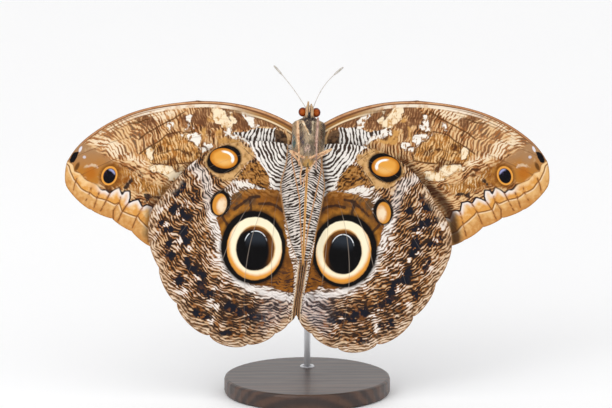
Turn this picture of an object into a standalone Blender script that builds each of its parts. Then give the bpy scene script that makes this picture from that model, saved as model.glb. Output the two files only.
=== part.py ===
"""An owl butterfly with its wings spread, life-size, held leaning back on a plain display stand.

Run with: blender --background --python part.py

Local axes of the butterfly, in millimetres: u runs across the wings to the viewer's right, v runs up the
body to the head, and w runs out of the underside towards the viewer. The animal shows its underside, so
its own right wings lie at negative u. World axes are +Z up, with the viewer on the -Y side.
"""

import math
from typing import NamedTuple

import bmesh
import bpy
import numpy as np
from mathutils import Matrix, Vector

MM = 0.001
GAP = 0.3

# Stand
BASE_RADIUS = 25.0
BASE_HEIGHT = 5.0
BASE_BEVEL = 0.8
ROD_RADIUS = 1.0
ROD_SETBACK = 12.0
SOCKET_DEPTH = 3.5
ROD_BEND = 7.0

# Attitude
HOLD_HEIGHT = 74.5
LEAN = math.radians(12.0)
BODY_TILT = math.radians(2.5)
BODY_CENTRE_U = 0.55

# Wing sheets
MEMBRANE = 0.55
VEIN_THICKNESS = 0.95
ROOT_THICKNESS = 1.05
VEIN_FOOT = 0.45
FOOT_SHARE = 0.25
LEAST_FACING = 0.45
DIHEDRAL = 0.07
DROOP = 0.0006
PLEAT = 0.14
FOREWING_LEVEL = -2.8
HINDWING_LEVEL = -1.0
FOREWING_ROWS = 11
HINDWING_ROWS = 14

# Forewings
FOREWING_CENTRE_U = 0.36
FOREWING_TUCK = {"right": 0.0, "left": 1.9}

# Hindwings
HINDWING_PIVOT = (5.1, 2.1)
HINDWING_SWEEP = {"right": 0.0, "left": math.radians(7.5)}
FOLD_WALL = 4.2
FOLD_CLEARANCE = 0.85
FOLD_SAG = 0.8
SEAM_HALF_GAP = 0.16
SEAM_OPENING = 0.55
SEAM_DRIFT = -1.3
LIP_HEIGHT = 0.5

# Body
RING_SIDES = 18
BOXINESS = 0.86
EYE_RADII = (1.32, 1.40, 1.42)
EYE_OUT = 1.98
EYE_V = 11.25
HEAD_V = 11.25
HEAD_RADII = (1.75, 2.0, 2.2)

SIDES = {"right": -1.0, "left": 1.0}

COLOURS = {
    "wing": ((0.42, 0.29, 0.17, 1.0), 0.75, 0.0),
    "body": ((0.46, 0.36, 0.25, 1.0), 0.85, 0.0),
    "eye": ((0.45, 0.12, 0.03, 1.0), 0.25, 0.0),
    "limb": ((0.62, 0.45, 0.30, 1.0), 0.6, 0.0),
    "antenna": ((0.70, 0.66, 0.60, 1.0), 0.6, 0.0),
    "wood": ((0.10, 0.06, 0.04, 1.0), 0.45, 0.0),
    "steel": ((0.75, 0.75, 0.76, 1.0), 0.3, 1.0),
}


class Station(NamedTuple):
    """One ring of a lofted body: its place along v, its half width, and its reach both ways in w."""

    v: float
    half_width: float
    ventral: float
    dorsal: float


class Vein(NamedTuple):
    """One line of a wing from root to margin. Points are (u, v) in mm, with u counted outwards."""

    root: tuple
    controls: tuple
    end: tuple
    ridge_from: float
    bulge: float
    follows: float = 1.0
    fullness: float = 0.6


THORAX = (
    Station(9.5, 2.5, 2.5, 2.5),
    Station(9.1, 3.8, 3.1, 3.5),
    Station(8.0, 4.7, 3.6, 4.4),
    Station(6.0, 5.0, 3.9, 4.9),
    Station(3.4, 5.0, 4.1, 5.2),
    Station(0.4, 4.9, 4.1, 5.2),
    Station(-2.0, 4.4, 4.1, 4.8),
    Station(-4.0, 3.5, 3.8, 4.1),
    Station(-5.4, 2.6, 3.0, 3.3),
    Station(-5.8, 1.9, 2.2, 2.4),
)

ABDOMEN_START = -6.1
ABDOMEN_LENGTH = 29.0
ABDOMEN_RADIUS = 2.75
ABDOMEN_SEGMENTS = 8
SEGMENT_GROOVE = 0.12

# Each forewing line ends on the margin, and bulge is how far the margin swells between it and the next.
FOREWING = (
    Vein((3.2, 6.9), ((10.5, 11.9), (21.0, 15.0)), (33.2, 14.6), 0.0, 0.35, fullness=1.0),
    Vein((3.2, 6.4), ((13.0, 10.8), (30.0, 14.2)), (47.2, 12.8), 0.0, 1.15, fullness=1.0),
    Vein((3.2, 5.9), ((16.0, 9.4), (40.0, 13.0)), (65.6, 4.3), 0.30, 0.55, fullness=1.0),
    Vein((3.2, 5.4), ((18.0, 7.8), (46.0, 10.2)), (72.0, -3.1), 0.42, 0.55),
    Vein((3.2, 4.9), ((20.0, 6.0), (46.0, 6.0)), (72.6, -10.2), 0.42, 0.95),
    Vein((3.2, 4.4), ((20.0, 4.2), (44.0, 1.0)), (64.9, -17.9), 0.46, 0.40),
    Vein((3.2, 3.9), ((19.0, 2.4), (42.0, -2.0)), (58.6, -20.5), 0.46, 0.45),
    Vein((3.2, 3.3), ((18.0, 0.6), (38.0, -4.5)), (52.7, -24.3), 0.40, 0.45),
    Vein((3.2, 2.7), ((16.0, -1.6), (32.0, -8.5)), (47.3, -28.8), 0.28, 0.30),
    Vein((3.2, 1.9), ((13.0, -3.8), (28.0, -13.5)), (43.2, -30.6), 0.0, 0.20),
    Vein((3.2, 1.2), ((12.0, -5.2), (26.0, -16.0)), (40.6, -30.0), 1.0, 0.0),
)

HINDWING = (
    Vein((3.0, 1.2), ((13.0, 3.6), (28.0, 5.0)), (38.6, -8.6), 0.0, 0.15, fullness=1.0),
    Vein((3.0, 0.5), ((14.0, 1.4), (32.0, -3.5)), (45.4, -16.8), 0.12, 1.30, fullness=0.8),
    Vein((3.0, -0.2), ((15.0, -0.8), (34.0, -8.0)), (46.8, -28.6), 0.30, 0.45),
    Vein((3.0, -0.9), ((14.0, -3.2), (33.0, -13.5)), (43.9, -35.4), 0.34, 1.40),
    Vein((3.0, -1.6), ((13.0, -5.4), (31.0, -20.0)), (38.6, -45.9), 0.40, 2.10),
    Vein((3.0, -2.3), ((12.0, -7.4), (28.0, -26.0)), (28.9, -55.4), 0.40, 2.10),
    Vein((3.0, -3.0), ((11.0, -9.2), (22.0, -29.0)), (17.5, -58.1), 0.36, 1.20),
    Vein((2.9, -3.7), ((9.8, -10.4), (11.6, -30.0)), (9.4, -54.9), 0.22, 0.50),
    Vein((2.6, -4.4), ((8.0, -10.0), (7.4, -28.0)), (5.5, -52.2), 1.0, 0.10),
    Vein((1.4, -5.0), ((3.8, -12.0), (2.2, -26.0)), (0.75, -50.8), 1.0, 0.05, 0.0),
    Vein((0.0, -5.2), ((0.0, -18.0), (0.0, -32.0)), (0.0, -49.4), 1.0, 0.0, 0.0),
)

# Each leg is a run of points (u, v, w) from its root out to its foot, with a radius at each.
LEGS = {
    "foreleg_right": (
        ((-1.5, 7.6, 2.4), 0.45), ((-1.8, 8.2, 4.2), 0.42), ((-0.9, 6.6, 4.7), 0.38),
        ((0.2, 4.6, 4.75), 0.28),
    ),
    "foreleg_left": (
        ((1.2, 7.6, 2.4), 0.45), ((1.2, 8.3, 4.2), 0.42), ((1.15, 6.6, 4.7), 0.38),
        ((1.1, 4.6, 4.75), 0.28),
    ),
    "midleg_right": (
        ((-2.9, 1.4, 2.6), 0.50), ((-3.0, 2.2, 4.6), 0.46), ((-3.4, 7.6, 4.4), 0.42),
        ((-3.2, 7.2, 5.3), 0.40), ((-2.7, 0.2, 5.6), 0.34), ((-2.4, -4.6, 5.1), 0.27),
    ),
    "midleg_left": (
        ((2.2, 1.4, 2.6), 0.50), ((2.4, 2.2, 4.7), 0.46), ((2.6, 8.8, 4.4), 0.42),
        ((2.6, 8.4, 5.4), 0.40), ((2.6, 0.4, 5.8), 0.34), ((2.7, -5.3, 5.5), 0.27),
    ),
    "hindleg_right": (
        ((-1.0, -2.0, 2.0), 0.50), ((-1.5, -2.2, 4.2), 0.46), ((-5.0, -0.6, 4.0), 0.42),
        ((-4.6, -1.4, 4.2), 0.40), ((-1.8, -4.6, 4.4), 0.34), ((-1.9, -7.6, 4.5), 0.28),
        ((-1.6, -10.2, 4.55), 0.25),
    ),
    "hindleg_left": (
        ((0.8, -2.0, 2.0), 0.50), ((1.3, -2.2, 4.2), 0.46), ((6.6, 0.4, 4.0), 0.44),
        ((6.2, -0.5, 4.2), 0.42), ((2.1, -3.9, 4.4), 0.36), ((0.6, -6.2, 4.5), 0.30),
        ((-0.5, -8.3, 4.5), 0.28), ((-0.9, -10.8, 4.55), 0.25),
    ),
}
LIMB_SIDES = 8

PALP = (
    ((0.8, 9.9, 1.4), 0.42), ((0.95, 9.7, 2.9), 0.50), ((0.92, 11.4, 3.3), 0.54),
    ((0.78, 13.1, 2.9), 0.44), ((0.66, 14.4, 2.4), 0.22),
)
COIL_TURNS = 2.2
COIL_RADIUS = 0.85
COIL_PITCH = 0.34
COIL_WIRE = 0.13
COIL_CENTRE = (12.0, 3.35)

ANTENNA_ROOT = (0.85, 12.7, -0.7)
ANTENNA_TIPS = {"right": (-11.2, 24.9, -11.5), "left": (9.4, 25.3, -11.5)}
ANTENNA_BOW = {"right": 0.45, "left": 1.3}
ANTENNA_RADIUS = 0.26
CLUB_RADIUS = 0.42
CLUB_SHARE = 0.26
ANTENNA_STEPS = 14
ANTENNA_SIDES = 7


def smoothstep(low, high, value):
    """0 below low and 1 above high, with a smooth rise between."""
    share = np.clip((value - low) / (high - low), 0.0, 1.0)
    return share * share * (3 - 2 * share)


def bezier(points, shares):
    """Points of the Bezier curve with these control points, at the given shares of its run."""
    layer = [np.asarray(point, float)[None, :] for point in points]
    shares = np.asarray(shares, float)[:, None]
    while len(layer) > 1:
        layer = [(1 - shares) * a + shares * b for a, b in zip(layer, layer[1:])]
    return layer[0]


def abdomen_radius(v):
    """Radius of the abdomen at a place along the body, without its grooves."""
    share = np.clip((ABDOMEN_START - np.asarray(v, float)) / ABDOMEN_LENGTH, 0.0, 1.0)
    return ABDOMEN_RADIUS * (0.86 + 0.30 * share - 0.86 * share**3)


def to_local(points):
    """Body points (u, v, w) turned by the body's tilt and set on its centre line."""
    points = np.asarray(points, float)
    cosine = math.cos(BODY_TILT)
    sine = math.sin(BODY_TILT)
    turned = points.copy()
    turned[..., 0] = points[..., 0] * cosine + points[..., 1] * sine + BODY_CENTRE_U
    turned[..., 1] = -points[..., 0] * sine + points[..., 1] * cosine
    return turned


def to_body(points):
    """The other way round from to_local, for (u, v) pairs."""
    points = np.asarray(points, float)
    cosine = math.cos(BODY_TILT)
    sine = math.sin(BODY_TILT)
    u = points[..., 0] - BODY_CENTRE_U
    return np.stack([u * cosine - points[..., 1] * sine, u * sine + points[..., 1] * cosine], axis=-1)


def clear_scene():
    """Leaves an empty scene."""
    for obj in list(bpy.data.objects):
        bpy.data.objects.remove(obj, do_unlink=True)


def material(name):
    """A plain Principled material from the colour table."""
    found = bpy.data.materials.get(name)
    if found:
        return found
    colour, roughness, metallic = COLOURS[name]
    made = bpy.data.materials.new(name)
    made.use_nodes = True
    shader = made.node_tree.nodes["Principled BSDF"]
    shader.inputs["Base Color"].default_value = colour
    shader.inputs["Roughness"].default_value = roughness
    shader.inputs["Metallic"].default_value = metallic
    made.diffuse_color = colour
    return made


def mesh_object(name, points, faces, finish, parent=None):
    """An object whose mesh has the given local (u, v, w) points in mm, laid out as x, -w, z."""
    mesh = bpy.data.meshes.new(name)
    mesh.from_pydata([(u * MM, -w * MM, v * MM) for u, v, w in points], [], faces)
    mesh.validate()
    obj = bpy.data.objects.new(name, mesh)
    bpy.context.scene.collection.objects.link(obj)
    mesh.materials.append(material(finish))
    obj.parent = parent
    return obj


def orient_outwards(obj):
    """Turns every face of a closed mesh outwards."""
    work = bmesh.new()
    work.from_mesh(obj.data)
    bmesh.ops.recalc_face_normals(work, faces=work.faces)
    work.to_mesh(obj.data)
    work.free()


def keep_largest(obj):
    """Applies the modifiers and keeps only the largest closed surface, with round shading."""
    bpy.context.view_layer.update()
    graph = bpy.context.evaluated_depsgraph_get()
    settled = bpy.data.meshes.new_from_object(obj.evaluated_get(graph))
    obj.modifiers.clear()
    obj.data = settled
    work = bmesh.new()
    work.from_mesh(settled)
    bmesh.ops.triangulate(work, faces=work.faces)
    left = set(work.faces)
    islands = []
    while left:
        stack = [left.pop()]
        island = []
        while stack:
            face = stack.pop()
            island.append(face)
            for edge in face.edges:
                for other in edge.link_faces:
                    if other in left:
                        left.remove(other)
                        stack.append(other)
        islands.append(island)
    islands.sort(key=lambda faces: sum(face.calc_area() for face in faces))
    for island in islands[:-1]:
        bmesh.ops.delete(work, geom=island, context="FACES")
    loose = [vertex for vertex in work.verts if not vertex.link_faces]
    bmesh.ops.delete(work, geom=loose, context="VERTS")
    work.to_mesh(settled)
    work.free()
    settled.shade_smooth()
    settled.set_sharp_from_angle(angle=math.radians(50.0))


def helper(obj):
    """Marks an object as a cutter, which the model leaves out."""
    obj.hide_render = True
    obj.display_type = "WIRE"
    return obj


def cut_with(obj, cutters):
    """Cuts the cutters out of obj, so that it meets their owners with the usual gap."""
    for cutter in cutters:
        modifier = obj.modifiers.new("clearance", "BOOLEAN")
        modifier.operation = "DIFFERENCE"
        modifier.solver = "EXACT"
        modifier.object = cutter
    keep_largest(obj)


def lofted(name, rings, finish, parent=None):
    """A closed body through rings of equally many points, with a flat cap at each end."""
    count = len(rings[0])
    points = [tuple(point) for ring in rings for point in ring]
    faces = []
    for row in range(len(rings) - 1):
        for side in range(count):
            here, after = row * count + side, row * count + (side + 1) % count
            faces.append((here, after, after + count, here + count))
    faces.append(tuple(range(count)))
    faces.append(tuple(range((len(rings) - 1) * count, len(rings) * count)))
    obj = mesh_object(name, points, faces, finish, parent)
    orient_outwards(obj)
    return obj


def body_ring(station, grow=0.0, sides=RING_SIDES):
    """Points round one station, swollen by grow."""
    ring = []
    for side in range(sides):
        angle = 2 * math.pi * side / sides
        reach = station.ventral if math.cos(angle) > 0 else station.dorsal
        turn = (math.sin(angle), math.cos(angle))
        across, out = (math.copysign(abs(part) ** BOXINESS, part) for part in turn)
        ring.append(to_local(((station.half_width + grow) * across, station.v, (reach + grow) * out)))
    return ring


def body_of_stations(name, stations, finish, grow=0.0, parent=None):
    """A lofted body through stations; grow swells it and lengthens both ends by the same amount."""
    rings = [body_ring(station, grow) for station in stations]
    if grow:
        first, last = stations[0], stations[-1]
        rings.insert(0, body_ring(first._replace(v=first.v + grow), 0.0))
        rings.append(body_ring(last._replace(v=last.v - grow), 0.0))
    return lofted(name, rings, finish, parent)


def abdomen_stations():
    """Stations of the abdomen: one swelling and one shallow groove for each segment."""
    stations = []
    for index in range(2 * ABDOMEN_SEGMENTS + 1):
        v = ABDOMEN_START - ABDOMEN_LENGTH * index / (2 * ABDOMEN_SEGMENTS)
        radius = float(abdomen_radius(v)) - (SEGMENT_GROOVE if index % 2 == 0 else 0.0)
        stations.append(Station(v, radius, radius * 0.98, radius))
    return stations


def ellipsoid(name, centre, radii, finish, grow=0.0, parent=None):
    """A round body with radii along u, v and w, at a body point."""
    work = bmesh.new()
    bmesh.ops.create_uvsphere(work, u_segments=16, v_segments=10, radius=1.0)
    u, v, w = to_local(centre)
    turn = Matrix.Rotation(BODY_TILT, 4, "Y")
    scale = Matrix.Diagonal(((radii[0] + grow) * MM, (radii[2] + grow) * MM, (radii[1] + grow) * MM, 1.0))
    place = Matrix.Translation((u * MM, -w * MM, v * MM))
    bmesh.ops.transform(work, matrix=place @ turn @ scale, verts=work.verts)
    mesh = bpy.data.meshes.new(name)
    work.to_mesh(mesh)
    work.free()
    mesh.materials.append(material(finish))
    mesh.shade_smooth()
    obj = bpy.data.objects.new(name, mesh)
    bpy.context.scene.collection.objects.link(obj)
    obj.parent = parent
    return obj


def smooth_run(points, radii, steps):
    """A Catmull-Rom curve through the points, with radii that follow it."""
    rows = np.column_stack([np.asarray(points, float), np.asarray(radii, float)])
    padded = np.vstack([2 * rows[0] - rows[1], rows, 2 * rows[-1] - rows[-2]])
    out = []
    for index in range(1, len(padded) - 2):
        a, b, c, d = padded[index - 1 : index + 3]
        for step in range(steps):
            t = step / steps
            square, cube = 2 * a - 5 * b + 4 * c - d, 3 * b - a - 3 * c + d
            out.append(0.5 * (2 * b + (c - a) * t + square * t**2 + cube * t**3))
    out.append(rows[-1])
    out = np.array(out)
    return out[:, :3], np.maximum(out[:, 3], 0.05)


def tube(name, path, radii, sides, finish, parent=None):
    """A closed tube with its own radius at each point of the path, which is in local (u, v, w)."""
    path = np.asarray(path, float)
    tangents = np.gradient(path, axis=0)
    tangents /= np.linalg.norm(tangents, axis=1)[:, None]
    normal = np.cross(tangents[0], (0.31, 0.17, 0.93))
    rings = []
    for point, tangent, radius in zip(path, tangents, radii):
        normal = normal - tangent * (normal @ tangent)
        normal /= np.linalg.norm(normal)
        across = np.cross(tangent, normal)
        angles = [2 * math.pi * side / sides for side in range(sides)]
        rings.append([point + radius * (math.cos(a) * normal + math.sin(a) * across) for a in angles])
    return lofted(name, rings, finish, parent)


def limb(name, knots, steps, finish, parent):
    """A tapering tube through the knots of a leg or a palp, given in body points."""
    points = [to_local(point) for point, _ in knots]
    path, radii = smooth_run(points, [radius for _, radius in knots], steps)
    return tube(name, path, radii, LIMB_SIDES, finish, parent)


def camber(u):
    """How far both wings bend away from the viewer at a distance from the middle."""
    return -DIHEDRAL * np.abs(u) - DROOP * np.abs(u) ** 2


def seam_half_gap(v):
    """Half the slit between the two inner margins, which stands open over the end of the abdomen."""
    return SEAM_HALF_GAP + SEAM_OPENING * smoothstep(-19.0, -32.0, v) * smoothstep(-36.0, -32.5, v)


def seam_drift(v):
    """How far the seam strays from the body's own axis towards its end."""
    return SEAM_DRIFT * smoothstep(-34.0, -49.5, v)


def fold_height(u, v, side):
    """How far the hindwing rises towards the viewer where its inner margin wraps the abdomen."""
    inward = to_body(np.stack([u, v], axis=-1))
    along = inward[..., 1]
    crease = {-1.0: 6.9, 1.0: 4.9}[side]
    narrowing = 1.0 - 0.62 * smoothstep(-10.0, -36.0, along)
    panel = crease * narrowing * (0.8 + 0.2 * smoothstep(-3.0, -11.0, along))
    distance = np.abs(inward[..., 0] - seam_drift(along))
    sag = FOLD_SAG * np.clip(distance / panel, 0, 1) ** 2
    top = abdomen_radius(along) + FOLD_CLEARANCE - HINDWING_LEVEL - sag
    fade = smoothstep(1.0, -4.4, along) * (1.0 - 0.80 * smoothstep(-33.0, -47.0, along))
    lip = LIP_HEIGHT * np.exp(-(((distance - 1.0) / 0.7) ** 2))
    lip = lip * smoothstep(-31.0, -34.0, along) * smoothstep(-49.0, -43.0, along)
    return top * fade * smoothstep(panel + FOLD_WALL, panel, distance) + lip


def placed_forewing(points, side):
    """Forewing points set on their side; one wing's hind part is drawn up a little."""
    out, along = points[..., 0], points[..., 1]
    tuck = FOREWING_TUCK["left" if side > 0 else "right"]
    tuck = tuck * smoothstep(62.0, 46.0, out) * smoothstep(-8.0, -24.0, along)
    return np.stack([side * out + FOREWING_CENTRE_U, along + tuck], axis=-1)


def placed_hindwing(points, side, follows):
    """Hindwing points set on their side: lines that follow the wing swing, those of the fold stay put."""
    outer = np.stack([side * points[..., 0], points[..., 1]], axis=-1)
    angle = HINDWING_SWEEP["left" if side > 0 else "right"] * follows
    pivot = np.array([side * HINDWING_PIVOT[0], HINDWING_PIVOT[1]])
    cosine = np.cos(angle)
    sine = np.sin(angle)
    across, along = outer[..., 0] - pivot[0], outer[..., 1] - pivot[1]
    turned = [across * cosine + side * along * sine, along * cosine - side * across * sine]
    swung = pivot + np.stack(turned, axis=-1)
    drift = seam_drift(outer[..., 1])
    slit = side * seam_half_gap(outer[..., 1])
    on_body = np.stack([outer[..., 0] + drift + slit, outer[..., 1], np.zeros_like(drift)], axis=-1)
    on_body = to_local(on_body)[..., :2]
    share = np.clip(1.0 - follows / 0.35, 0.0, 1.0)
    return share * on_body + (1 - share) * swung


def foot_offset(line, across):
    """A short step off a vein to the foot of its ridge: square to it, but along the margin at its end."""
    along = np.gradient(line, axis=0)
    along /= np.linalg.norm(along, axis=1)[:, None]
    square = across - along * np.sum(across * along, axis=1)[:, None]
    square[-1] = across[-1]
    width = np.maximum(np.linalg.norm(square, axis=1), 1e-6)
    return square / width[:, None] * np.minimum(VEIN_FOOT, FOOT_SHARE * width)[:, None]


def wing_grid(veins, rows, place):
    """Columns of (u, v) points from root to margin, each with its share of vein ridge and its pleat.

    Between two veins come the feet of their ridges and two lines across the membrane, and the margin
    swells between them.
    """
    shares = np.linspace(0.0, 1.0, rows + 1) ** 0.9
    at_margin = smoothstep(0.9, 1.0, shares)
    lines = [place(bezier((vein.root, *vein.controls, vein.end), shares), vein.follows) for vein in veins]
    grid, ridges, pleats = [], [], []
    for index, vein in enumerate(veins[:-1]):
        here, there = lines[index], lines[index + 1]
        across = there - here
        outward = np.array([across[-1][1], -across[-1][0]]) / np.linalg.norm(across[-1])
        if outward @ (here[-1] - here[0]) < 0:
            outward = -outward
        side = 1.0 if index % 2 else -1.0
        strip = (here, here + foot_offset(here, across), here + across / 3, here + across * 2 / 3,
                 there + foot_offset(there, -across))
        for place_in_strip, points in enumerate(strip):
            weight = np.linalg.norm(points[-1] - here[-1]) / np.linalg.norm(across[-1])
            swell = (4 * weight * (1 - weight)) ** vein.fullness * vein.bulge * at_margin
            grid.append(points + outward * swell[:, None])
            ridges.append(np.where(shares >= vein.ridge_from, 1.0, 0.0) * (place_in_strip == 0))
            pleats.append(side * PLEAT * math.sin(math.pi * weight) * smoothstep(0.15, 0.6, shares))
    grid.append(lines[-1])
    ridges.append(np.where(shares >= veins[-1].ridge_from, 1.0, 0.0))
    pleats.append(np.zeros_like(shares))
    return np.array(grid), np.array(ridges), np.array(pleats), shares


def steepness(grid, levels):
    """How much longer a step straight through the sheet is along w than square to its surface."""
    points = np.concatenate([grid, levels[..., None]], axis=-1)
    normal = np.cross(np.gradient(points, axis=0), np.gradient(points, axis=1))
    facing = np.abs(normal[..., 2]) / np.maximum(np.linalg.norm(normal, axis=-1), 1e-9)
    return 1.0 / np.maximum(facing, LEAST_FACING)


def wing(name, grid, levels, ridges, shares, parent):
    """A thin closed wing over a grid of columns, thicker at its veins and root, both faces split alike."""
    columns, rows = grid.shape[:2]
    share_along = shares[None, :]
    root = smoothstep(0.22, 0.05, share_along) * smoothstep(0.8, 0.6, np.arange(columns) / columns)[:, None]
    rise = (VEIN_THICKNESS - MEMBRANE) * (1.0 - 0.45 * share_along) * ridges
    thickness = MEMBRANE + np.maximum((ROOT_THICKNESS - MEMBRANE) * root, rise)
    half = thickness * steepness(grid, levels) / 2
    front = np.concatenate([grid, (levels + half)[..., None]], axis=-1).reshape(-1, 3)
    back = np.concatenate([grid, (levels - half)[..., None]], axis=-1).reshape(-1, 3)
    sheet = []
    for c in range(columns - 1):
        for r in range(rows - 1):
            a, b = c * rows + r, (c + 1) * rows + r
            if c < columns // 2:
                sheet += [(a, b, a + 1), (b, b + 1, a + 1)]
            else:
                sheet += [(a, b, b + 1), (a, b + 1, a + 1)]
    behind = columns * rows
    rim = [c * rows for c in range(columns)]
    rim += [(columns - 1) * rows + r for r in range(1, rows)]
    rim += [c * rows + rows - 1 for c in range(columns - 2, -1, -1)]
    rim += list(range(rows - 2, 0, -1))
    walls = [(a, a + behind, b + behind, b) for a, b in zip(rim, rim[1:] + rim[:1])]
    faces = sheet + [tuple(index + behind for index in reversed(face)) for face in sheet] + walls
    obj = mesh_object(name, np.concatenate([front, back]), faces, "wing", parent)
    orient_outwards(obj)
    return obj


def build_forewing(name, side, parent, cutters):
    """One forewing, behind the hindwing."""
    grid, ridges, pleats, shares = wing_grid(
        FOREWING, FOREWING_ROWS, lambda points, _: placed_forewing(points, side)
    )
    levels = FOREWING_LEVEL + camber(grid[..., 0]) + pleats
    cut_with(wing(name, grid, levels, ridges, shares, parent), cutters)


def build_hindwing(name, side, parent, cutters):
    """One hindwing, whose inner margin folds over the abdomen to the seam in the middle."""
    grid, ridges, pleats, shares = wing_grid(
        HINDWING, HINDWING_ROWS, lambda points, follows: placed_hindwing(points, side, follows)
    )
    u, v = grid[..., 0], grid[..., 1]
    levels = HINDWING_LEVEL + camber(u) + pleats + fold_height(u, v, side)
    cut_with(wing(name, grid, levels, ridges, shares, parent), cutters)


def build_antenna(name, side, parent, cutters):
    """A slender shaft that bows a little inwards and ends in a slim club."""
    root = to_local((SIDES[side] * ANTENNA_ROOT[0], ANTENNA_ROOT[1] - 0.6, ANTENNA_ROOT[2] + 0.3))
    tip = to_local(ANTENNA_TIPS[side])
    shares = np.linspace(0.0, 1.0, ANTENNA_STEPS + 1)
    bow = np.array([-SIDES[side] * 0.8, 0.6, 0.0]) * ANTENNA_BOW[side]
    path = root + (tip - root) * shares[:, None] + bow * np.sin(math.pi * shares)[:, None]
    club = smoothstep(1.0 - CLUB_SHARE, 1.0 - CLUB_SHARE / 2, shares)
    radii = ANTENNA_RADIUS + (CLUB_RADIUS - ANTENNA_RADIUS) * club
    radii[-1] = 0.18
    obj = tube(name, path, radii, ANTENNA_SIDES, "antenna", parent)
    cut_with(obj, cutters)


def build_proboscis(parent):
    """The tongue, coiled flat between the palps."""
    steps = round(COIL_TURNS * 14)
    angles = np.linspace(0.0, 2 * math.pi * COIL_TURNS, steps)
    radii = COIL_RADIUS - COIL_PITCH * angles / (2 * math.pi)
    path = [
        to_local((0.0, COIL_CENTRE[0] + r * math.cos(a), COIL_CENTRE[1] + r * math.sin(a)))
        for a, r in zip(angles, radii)
    ]
    wire = np.linspace(COIL_WIRE, COIL_WIRE * 0.6, steps)
    return tube("proboscis", path, wire, 6, "limb", parent)


def build_stand(parent_matrix, thorax_cutter):
    """A round base with a rod that rises behind the wings and bends in to the back of the thorax."""
    work = bmesh.new()
    bmesh.ops.create_cone(
        work, cap_ends=True, segments=48, radius1=BASE_RADIUS * MM, radius2=BASE_RADIUS * MM,
        depth=BASE_HEIGHT * MM, matrix=Matrix.Translation((0.0, 0.0, BASE_HEIGHT / 2 * MM)),
    )
    mesh = bpy.data.meshes.new("stand_base")
    work.to_mesh(mesh)
    work.free()
    mesh.materials.append(material("wood"))
    base = bpy.data.objects.new("stand_base", mesh)
    bpy.context.scene.collection.objects.link(base)
    bevel = base.modifiers.new("edge", "BEVEL")
    bevel.width = BASE_BEVEL * MM
    bevel.segments = 2
    bevel.limit_method = "ANGLE"
    socket_mesh = bpy.data.meshes.new("socket")
    work = bmesh.new()
    bmesh.ops.create_cone(
        work, cap_ends=True, segments=16, radius1=(ROD_RADIUS + GAP) * MM, radius2=(ROD_RADIUS + GAP) * MM,
        depth=2 * SOCKET_DEPTH * MM, matrix=Matrix.Translation((0.0, ROD_SETBACK * MM, BASE_HEIGHT * MM)),
    )
    work.to_mesh(socket_mesh)
    work.free()
    socket = helper(bpy.data.objects.new("socket", socket_mesh))
    bpy.context.scene.collection.objects.link(socket)
    cut_with(base, [socket])

    back = parent_matrix @ Vector((to_local((0.0, 0.6, 0.0))[0] * MM, 3.0 * MM, 0.6 * MM))
    away = parent_matrix.to_3x3() @ Vector((0.0, 1.0, 0.0))
    foot_z = BASE_HEIGHT - SOCKET_DEPTH + GAP
    elbow = Vector((back.x * 1000, ROD_SETBACK, 0.0))
    reach = (ROD_SETBACK - back.y * 1000) / away.y
    elbow.z = back.z * 1000 + reach * away.z
    straight = [Vector((0.0, ROD_SETBACK, z)) for z in np.linspace(foot_z, elbow.z - ROD_BEND, 6)]
    for index, point in enumerate(straight):
        point.x = elbow.x * smoothstep(0.0, 1.0, index / 5)
    into = [elbow - Vector(away) * share for share in (ROD_BEND, reach * 0.97)]
    bend = [
        (1 - t) ** 2 * straight[-1] + 2 * t * (1 - t) * elbow + t**2 * into[0]
        for t in (0.15, 0.3, 0.45, 0.6, 0.75, 0.9)
    ]
    world = straight + bend + into
    rod = tube("stand_rod", [(p.x, p.z, -p.y) for p in world], [ROD_RADIUS] * len(world), 10, "steel")
    cut_with(rod, [thorax_cutter])


def main():
    """Builds the whole butterfly and its stand."""
    clear_scene()
    lean = bpy.data.objects.new("butterfly_lean", None)
    bpy.context.scene.collection.objects.link(lean)
    lean.location = (-FOREWING_CENTRE_U * MM, 0.0, HOLD_HEIGHT * MM)
    lean.rotation_euler = (-LEAN, 0.0, 0.0)
    bpy.context.view_layer.update()

    thorax_cutter = helper(body_of_stations("thorax_room", THORAX, "body", GAP, lean))
    abdomen_cutter = helper(body_of_stations("abdomen_room", abdomen_stations(), "body", GAP, lean))
    head_cutter = helper(ellipsoid("head_room", (0.0, HEAD_V, 0.0), HEAD_RADII, "body", GAP, lean))

    for obj in (
        body_of_stations("thorax", THORAX, "body", 0.0, lean),
        body_of_stations("abdomen", abdomen_stations(), "body", 0.0, lean),
    ):
        keep_largest(obj)
    head = ellipsoid("head", (0.0, HEAD_V, 0.0), HEAD_RADII, "body", 0.0, lean)
    cut_with(head, [thorax_cutter])

    for side, sign in SIDES.items():
        eye = ellipsoid(f"eye_{side}", (sign * EYE_OUT, EYE_V, 0.3), EYE_RADII, "eye", 0.0, lean)
        cut_with(eye, [head_cutter, thorax_cutter])
        knots = [((sign * point[0], *point[1:]), radius) for point, radius in PALP]
        palp = limb(f"palp_{side}", knots, 4, "body", lean)
        cut_with(palp, [head_cutter, thorax_cutter])
        build_antenna(f"antenna_{side}", side, lean, [head_cutter])
        build_forewing(f"forewing_{side}", sign, lean, [thorax_cutter])
        build_hindwing(f"hindwing_{side}", sign, lean, [thorax_cutter, abdomen_cutter])
    build_proboscis(lean)
    for name, knots in LEGS.items():
        leg = limb(name, knots, 4, "limb", lean)
        cut_with(leg, [thorax_cutter])
    build_stand(lean.matrix_world, thorax_cutter)


main()
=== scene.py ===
"""An owl butterfly that shows the underside of its wings, on a plain stand: shapes, finishes and light.

Lengths are in millimetres until a mesh is made. On the butterfly u runs across the wings to the viewer's
right, v runs up the body to the head, and w runs out of the underside towards the viewer.
"""

import logging
import math
from dataclasses import dataclass, field
from enum import Enum
from typing import Any, Callable, Mapping, Sequence

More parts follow.
